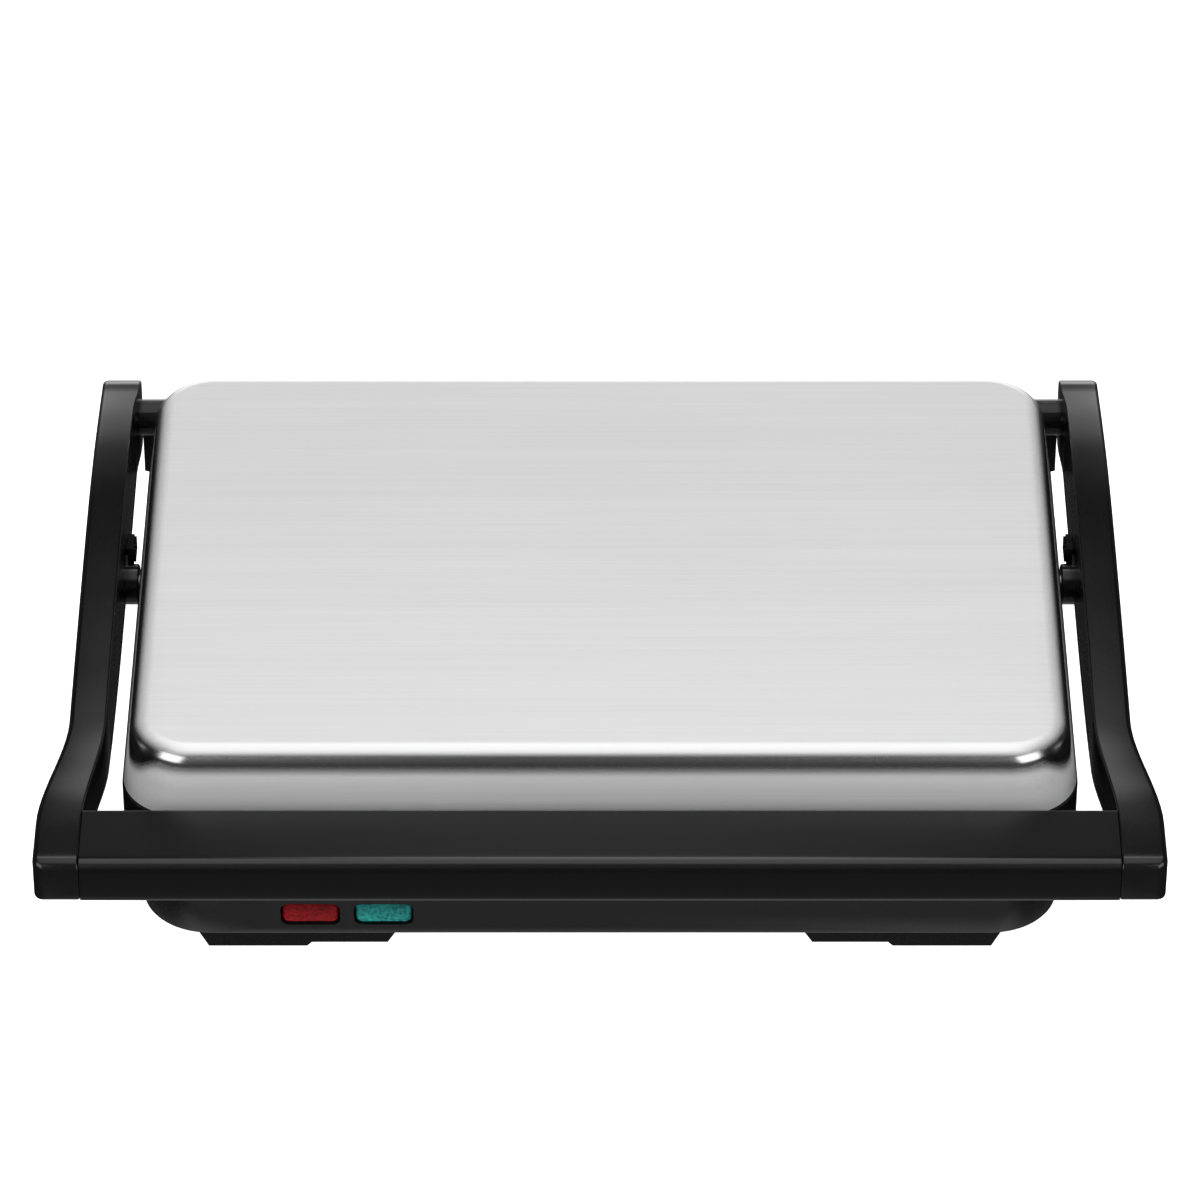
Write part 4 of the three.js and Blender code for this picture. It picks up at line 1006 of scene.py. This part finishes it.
def arm_ring(forms, side, y):
    """The arm's section at a depth, its four edges rounded."""
    flare = smoothstep(FLARE_START_Y - y, 0.0, FLARE_START_Y - FLARE_END_Y)
    from_front = y - BAR_FRONT_Y
    top = ARM_TOP(y) - bar_drop(forms, y) - round_drop(from_front, forms.bar_top_round)
    low = ARM_BOTTOM(y) + round_drop(from_front, forms.bar_low_round)
    if y > HINGE.y:
        half = math.sqrt(max(ARM_END**2 - (y - HINGE.y) ** 2, ARM_TIP_HALF**2))
        top, low = HINGE.z + half, HINGE.z - half
    inner = ARM_INNER_X + FLARE_IN * flare
    outer = ARM_INNER_X + ARM_THICK + FLARE_OUT * flare - round_drop(from_front, forms.arm_front)
    rear_drop = round_drop(HINGE.y + ARM_END - y, forms.arm_rear)
    inner += rear_drop * REAR_INNER_SHARE - HUB_WIDEN * smoothstep(y, HINGE.y - HUB_REACH, HINGE.y)
    outer -= rear_drop
    most = (top - low) * ARM_MOST_ROUND
    # Each edge is its place, its radius, its quarter of the turn, and the directions in from it.
    edges = (
        (outer, top, forms.arm_edge, 0, -1, -1),
        (inner, top, ARM_INNER_EDGE, 1, 1, -1),
        (inner, low, ARM_INNER_EDGE, 2, 1, 1),
        (outer, low, forms.arm_edge, 3, -1, 1),
    )
    ring = []
    for edge_x, edge_z, radius, quarter, in_x, in_z in edges:
        radius = min(radius, most)
        for i in range(ARM_EDGE_STEPS + 1):
            angle = (quarter + i / ARM_EDGE_STEPS) * math.pi / 2
            x = edge_x + in_x * radius + radius * math.cos(angle)
            z = edge_z + in_z * radius + radius * math.sin(angle)
            ring.append((side * x, y, z))
    return ring


def arm_stations(corner_radius):
    """The depths at which the arm has a section, closest where it curves most."""
    quarter = [i / ARM_FRONT_STEPS * math.pi / 2 for i in range(ARM_FRONT_STEPS + 1)]
    first = BAR_FRONT_Y + ARM_FIRST_BEHIND
    stations = [first + corner_radius * (1 - math.cos(angle)) for angle in quarter]
    middle_start = stations[-1] + ARM_CORNER_GAP
    stations += [lerp(middle_start, HINGE.y, i / ARM_STEPS) for i in range(ARM_STEPS + 1)]
    stations += [HINGE.y + ARM_END * math.sin(math.radians(degrees)) for degrees in ARM_END_DEGREES]
    return stations


def build_arm(forms, side, name):
    """A side arm: level with the bar in front, flaring outwards, highest over the lid's pivot."""
    arm = loft(name, [arm_ring(forms, side, y) for y in arm_stations(forms.arm_front)])
    combine(arm, arm_pocket(side), "DIFFERENCE")
    ends = sorted((side * (RIM_HIGH.x + BOSS_START), side * (ARM_INNER_X + ARM_THICK - BOSS_END)))
    combine(arm, rod_x("boss", PIVOT_BOSS_RADIUS, *ends, PIVOT.y, PIVOT.z), "UNION")
    return arm


def arm_pocket(side):
    """The hollow that the arm's flat inner cover closes."""
    low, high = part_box("right_arm_cover")
    near, far = ARM_INNER_X - POCKET_NEAR, high.x + POCKET_FAR
    rings = []
    for i in range(POCKET_STEPS + 1):
        y = lerp(low.y - SEAT_GAP, high.y + SEAT_GAP, i / POCKET_STEPS)
        top, bottom = ARM_TOP(y) - POCKET_WALL, ARM_BOTTOM(y) + POCKET_WALL
        corners = ((near, bottom), (far, bottom), (far, top), (near, top))
        rings.append([(side * x, y, z) for x, z in corners])
    return loft("pocket", rings)


def build_bar(forms):
    """The front bar between the arms, its section rounded most along the upper front edge."""
    outline = [
        (BAR_FRONT_Y, BAR_LOW_Z),
        (BAR_REAR_Y, BAR_LOW_Z),
        (BAR_REAR_Y, BAR_TOP_Z),
        (BAR_FRONT_Y, BAR_TOP_Z - bar_drop(forms, BAR_FRONT_Y)),
    ]
    radii = [forms.bar_low_round, forms.bar_round, forms.bar_round, forms.bar_top_round]
    section = rounded_outline(outline, radii, steps=BAR_ROUND_STEPS)
    half = ARM_INNER_X + FLARE_IN - BAR_SEAM
    broken = half - BAR_BREAK
    middle = Vector(((BAR_FRONT_Y + BAR_REAR_Y) / 2, (BAR_LOW_Z + BAR_TOP_Z) / 2))
    rings = []
    for x, inset in ((-half, BAR_BREAK), (-broken, 0.0), (broken, 0.0), (half, BAR_BREAK)):
        ring = []
        for y, z in section:
            away = Vector((y, z)) - middle
            shrink = 1 - inset / away.length
            ring.append((x, middle.x + away.x * shrink, middle.y + away.y * shrink))
        rings.append(ring)
    bar = loft("handle_bar_shell", rings)
    combine(bar, bar_recess(), "DIFFERENCE")
    return bar


def bar_recess():
    """The recess under the bar, in which its cover lies with a gap all round."""
    low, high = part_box("handle_bar_cover")
    return box_between(
        "recess",
        (low.x - SEAT_GAP, low.y - SEAT_GAP, low.z - RECESS_BELOW),
        (high.x + SEAT_GAP, high.y + SEAT_GAP, high.z + SEAT_GAP),
    )


# ---- Operators ---------------------------------------------------------------


class PRESS_OT_lid(bpy.types.Operator):
    """Builds the brushed steel cover and the black frame below it"""

    bl_idname = "press.lid"
    bl_label = "Lid"

    def execute(self, context):
        forms = context.scene.press_forms
        dress(build_lid_cover(forms), finish("steel"), "lid", "lid_steel_cover")
        dress(build_lid_frame(forms), finish("plastic"), "lid", "lid_frame")
        return {"FINISHED"}


class PRESS_OT_base(bpy.types.Operator):
    """Builds the base's shell with its lamp windows, post pads and cord inlet"""

    bl_idname = "press.base"
    bl_label = "Base"

    def execute(self, context):
        shell = build_base(context.scene.press_forms)
        dress(shell, finish("plastic"), "base", "base_housing")
        return {"FINISHED"}


class PRESS_OT_lamps(bpy.types.Operator):
    """Builds the two lamp lenses"""

    bl_idname = "press.lamps"
    bl_label = "Lamps"

    def execute(self, context):
        for key, slot in (("power", "red_lens"), ("ready", "green_lens")):
            node = key + "_lamp_lens"
            dress(build_lens(node, key + "_lens"), finish(key), "base", node)
        return {"FINISHED"}


class PRESS_OT_handle(bpy.types.Operator):
    """Builds the bail handle: its bar and its two flaring arms"""

    bl_idname = "press.handle"
    bl_label = "Handle"

    def execute(self, context):
        forms = context.scene.press_forms
        dress(build_bar(forms), finish("grip"), "handle_frame", "handle_bar")
        for side, name in ((-1, "left"), (1, "right")):
            arm = build_arm(forms, side, name + "_side_arm")
            dress(arm, finish("plastic"), "handle_frame", name + "_arm")
        return {"FINISHED"}


# Carried-over parts: part of a name, then the finish and the width of the rounded edges in millimetres.
# The first row that fits a name counts.
KEPT_LOOKS = (
    ("grill_plate", "coating", 0.35),
    ("hinge_post", "plastic", 0.5),
    ("_screw", "zinc", 0.15),
    ("_pin", "zinc", 0.2),
    ("bottom_cover", "inner", 0.4),
    ("heating_element", "sheath", 0.0),
    ("heat_reflector", "foil", 0.2),
    ("thermostat", "ceramic", 0.3),
    ("thermal_fuse", "ceramic", 0.2),
    ("terminal_block", "ceramic", 0.4),
    ("cord_bushing", "rubber", 0.4),
    ("neon_lamp", "neon", 0.0),
    ("lamp_holder", "inner", 0.3),
    ("foot_pad", "rubber", 0.5),
    ("lock_slider", "inner", 0.25),
    ("handle_bar_cover", "inner", 0.3),
    ("arm_cover", "inner", 0.3),
)


class PRESS_OT_fittings(bpy.types.Operator):
    """Finishes the plates, fittings and electrics that keep the frame's own shapes"""

    bl_idname = "press.fittings"
    bl_label = "Fittings"

    def execute(self, context):
        for name in FRAME["nodes"]:
            looks = [row for row in KEPT_LOOKS if row[0] in name]
            if looks:
                _, key, rounding = looks[0]
                thing = bpy.data.objects[name]
                paint(thing, finish(key))
                if rounding:
                    bevel(thing, rounding * MM)
        return {"FINISHED"}


# ---- Stage -------------------------------------------------------------------

# Brightness of the studio round the press, by degrees: -180 and 180 are the horizon in front, -90 straight
# down, 0 the horizon behind and 90 straight up.
STUDIO_BANDS = (
    (-180, 0.05),
    (-165, 0.03),
    (-143, 0.03),
    (-130, 0.2),
    (-116, 0.22),
    (-104, 0.12),
    (-92, 0.4),
    (-72, 0.4),
    (-50, 0.05),
    (-34, 0.05),
    (-24, 0.8),
    (-6, 0.9),
    (3, 2.6),
    (12, 2.6),
    (20, 1.0),
    (26, 0.2),
    (34, 0.05),
    (44, 0.03),
    (48, 0.12),
    (51, 1.5),
    (54, 2.8),
    (59, 2.2),
    (64, 1.15),
    (90, 1.05),
    (109, 1.1),
    (122, 0.2),
    (130, 0.08),
    (170, 0.08),
    (180, 0.05),
)
# A ramp holds levels up to 1, so the bands are stored as shares of this.
BRIGHTEST = 3.0
# Share of the bands' brightness by how far to the side a direction points, from 0 in the middle to 1.
SIDE_FADE = (
    (0.0, 1.0),
    (0.2, 1.0),
    (0.29, 0.6),
    (0.38, 0.12),
    (0.55, 0.04),
    (0.75, 0.02),
    (0.965, 0.02),
    (0.995, 0.4),
    (1.0, 0.4),
)

# Light panels: name, place and width in metres, watts, and whether they show in reflections.
PANELS = (
    ("front_fill", (0.0, -1.05, 1.1), 0.8, 8.8, False),
    ("top_fill", (0.0, 0.2, 1.5), 1.0, 6.0, False),
)
# Panels that stand on both sides.
SIDE_PANELS = (
    ("corner_glint", (0.76, -0.93, 0.6), 0.78, 5.0, True),
    ("corner_fill", (1.1, -0.7, 0.4), 0.6, 6.0, False),
)
FLOOR_SIZE = 6.0
# The floor lies just under the feet.
FLOOR_DROP = 0.1 * MM
CAMERA_TARGET = Vector((0, 31 * MM, 40 * MM))
SENSOR_WIDTH = 36


def build_world():
    """The studio's light: bands that run from side to side, fading towards the sides."""
    world = bpy.data.worlds.new("studio")
    world.use_nodes = True
    bpy.context.scene.world = world
    build = Build(world.node_tree)
    direction = build.node("ShaderNodeTexCoord", out="Generated")
    ahead, upward, aside = (
        build.node("ShaderNodeSeparateXYZ", None, {0: direction}, out=axis) for axis in ("Y", "Z", "X")
    )
    angle = build.node("ShaderNodeMath", {"operation": "ARCTAN2"}, {0: upward, 1: ahead})
    turn = {"Value": angle, "From Min": -math.pi, "From Max": math.pi}
    share = build.node("ShaderNodeMapRange", None, turn)
    bands = [((degrees + 180) / 360, level / BRIGHTEST) for degrees, level in STUDIO_BANDS]
    colour = build.node("ShaderNodeValToRGB", {"stops": bands}, {0: share})
    fade = build.node("ShaderNodeValToRGB", {"stops": SIDE_FADE}, {0: aside.size()})
    background = build.tree.nodes["Background"]
    build.feed(background.inputs["Color"], colour)
    build.feed(background.inputs["Strength"], fade * BRIGHTEST)


def build_panel(name, place, size, watts, glossy):
    """A square light panel that faces the press, seen in reflections only if glossy."""
    light = bpy.data.lights.new(name, "AREA")
    light.size = size
    light.energy = watts
    panel = bpy.data.objects.new(name, light)
    panel.location = Vector(place)
    panel.rotation_euler = (-panel.location).to_track_quat("-Z", "Y").to_euler()
    panel.visible_glossy = glossy
    bpy.context.collection.objects.link(panel)


def build_panels():
    """All the light panels, the side ones first on the left and then on the right."""
    for panel in PANELS:
        build_panel(*panel)
    for side in (-1, 1):
        for name, (x, y, z), *rest in SIDE_PANELS:
            build_panel(name, (side * x, y, z), *rest)


def build_floor(colour):
    """The studio's floor, which leaves no reflection of itself on the press."""
    shape = bmesh.new()
    bmesh.ops.create_grid(shape, x_segments=1, y_segments=1, size=FLOOR_SIZE)
    floor = finish_mesh("studio_floor", shape)
    paint(floor, floor_paint("floor paint", colour))
    floor.location.z = -FLOOR_DROP
    floor.visible_glossy = False


def build_camera(stage):
    """The camera, straight in front of the press and above it, looking at its middle."""
    away = Vector((0, -math.cos(stage.elevation), math.sin(stage.elevation)))
    lens = bpy.data.cameras.new("camera")
    lens.lens = stage.focal
    lens.sensor_width = SENSOR_WIDTH
    camera = bpy.data.objects.new("camera", lens)
    camera.location = CAMERA_TARGET + away * stage.distance
    camera.rotation_euler = (-away).to_track_quat("-Z", "Y").to_euler()
    bpy.context.collection.objects.link(camera)
    bpy.context.scene.camera = camera


class PRESS_OT_stage(bpy.types.Operator):
    """Sets the pale floor, the soft studio light and the camera"""

    bl_idname = "press.stage"
    bl_label = "Stage"

    def execute(self, context):
        stage = context.scene.press_stage
        build_floor(tuple(stage.floor))
        build_world()
        build_panels()
        build_camera(stage)
        context.scene.view_settings.view_transform = "Standard"
        return {"FINISHED"}


class PRESS_PT_panel(bpy.types.Panel):
    """Lists the press's pieces and their settings"""

    bl_idname = "PRESS_PT_panel"
    bl_label = "Panini press"
    bl_space_type = "VIEW_3D"
    bl_region_type = "UI"
    bl_category = "Press"

    def draw(self, context):
        layout = self.layout
        for group in GROUPS:
            settings = getattr(context.scene, group)
            box = layout.box()
            for key in settings.__annotations__:
                box.prop(settings, key)
        for operator in OPERATORS:
            layout.operator(operator.bl_idname)


GROUPS = {
    "press_finish": PRESS_PG_finish,
    "press_forms": PRESS_PG_forms,
    "press_stage": PRESS_PG_stage,
}
OPERATORS = (
    PRESS_OT_lid,
    PRESS_OT_base,
    PRESS_OT_lamps,
    PRESS_OT_handle,
    PRESS_OT_fittings,
    PRESS_OT_stage,
)
CLASSES = (*GROUPS.values(), *OPERATORS, PRESS_PT_panel)


def register():
    """Makes the classes known and hangs the settings on the scene."""
    for cls in CLASSES:
        bpy.utils.register_class(cls)
    for name, group in GROUPS.items():
        setattr(bpy.types.Scene, name, bpy.props.PointerProperty(type=group))


def unregister():
    """Undoes register."""
    for name in GROUPS:
        delattr(bpy.types.Scene, name)
    for cls in reversed(CLASSES):
        bpy.utils.unregister_class(cls)


def main():
    """Builds every piece in order."""
    register()
    for operator in OPERATORS:
        group, name = operator.bl_idname.split(".")
        getattr(getattr(bpy.ops, group), name)()


if __name__ == "__main__":
    main()
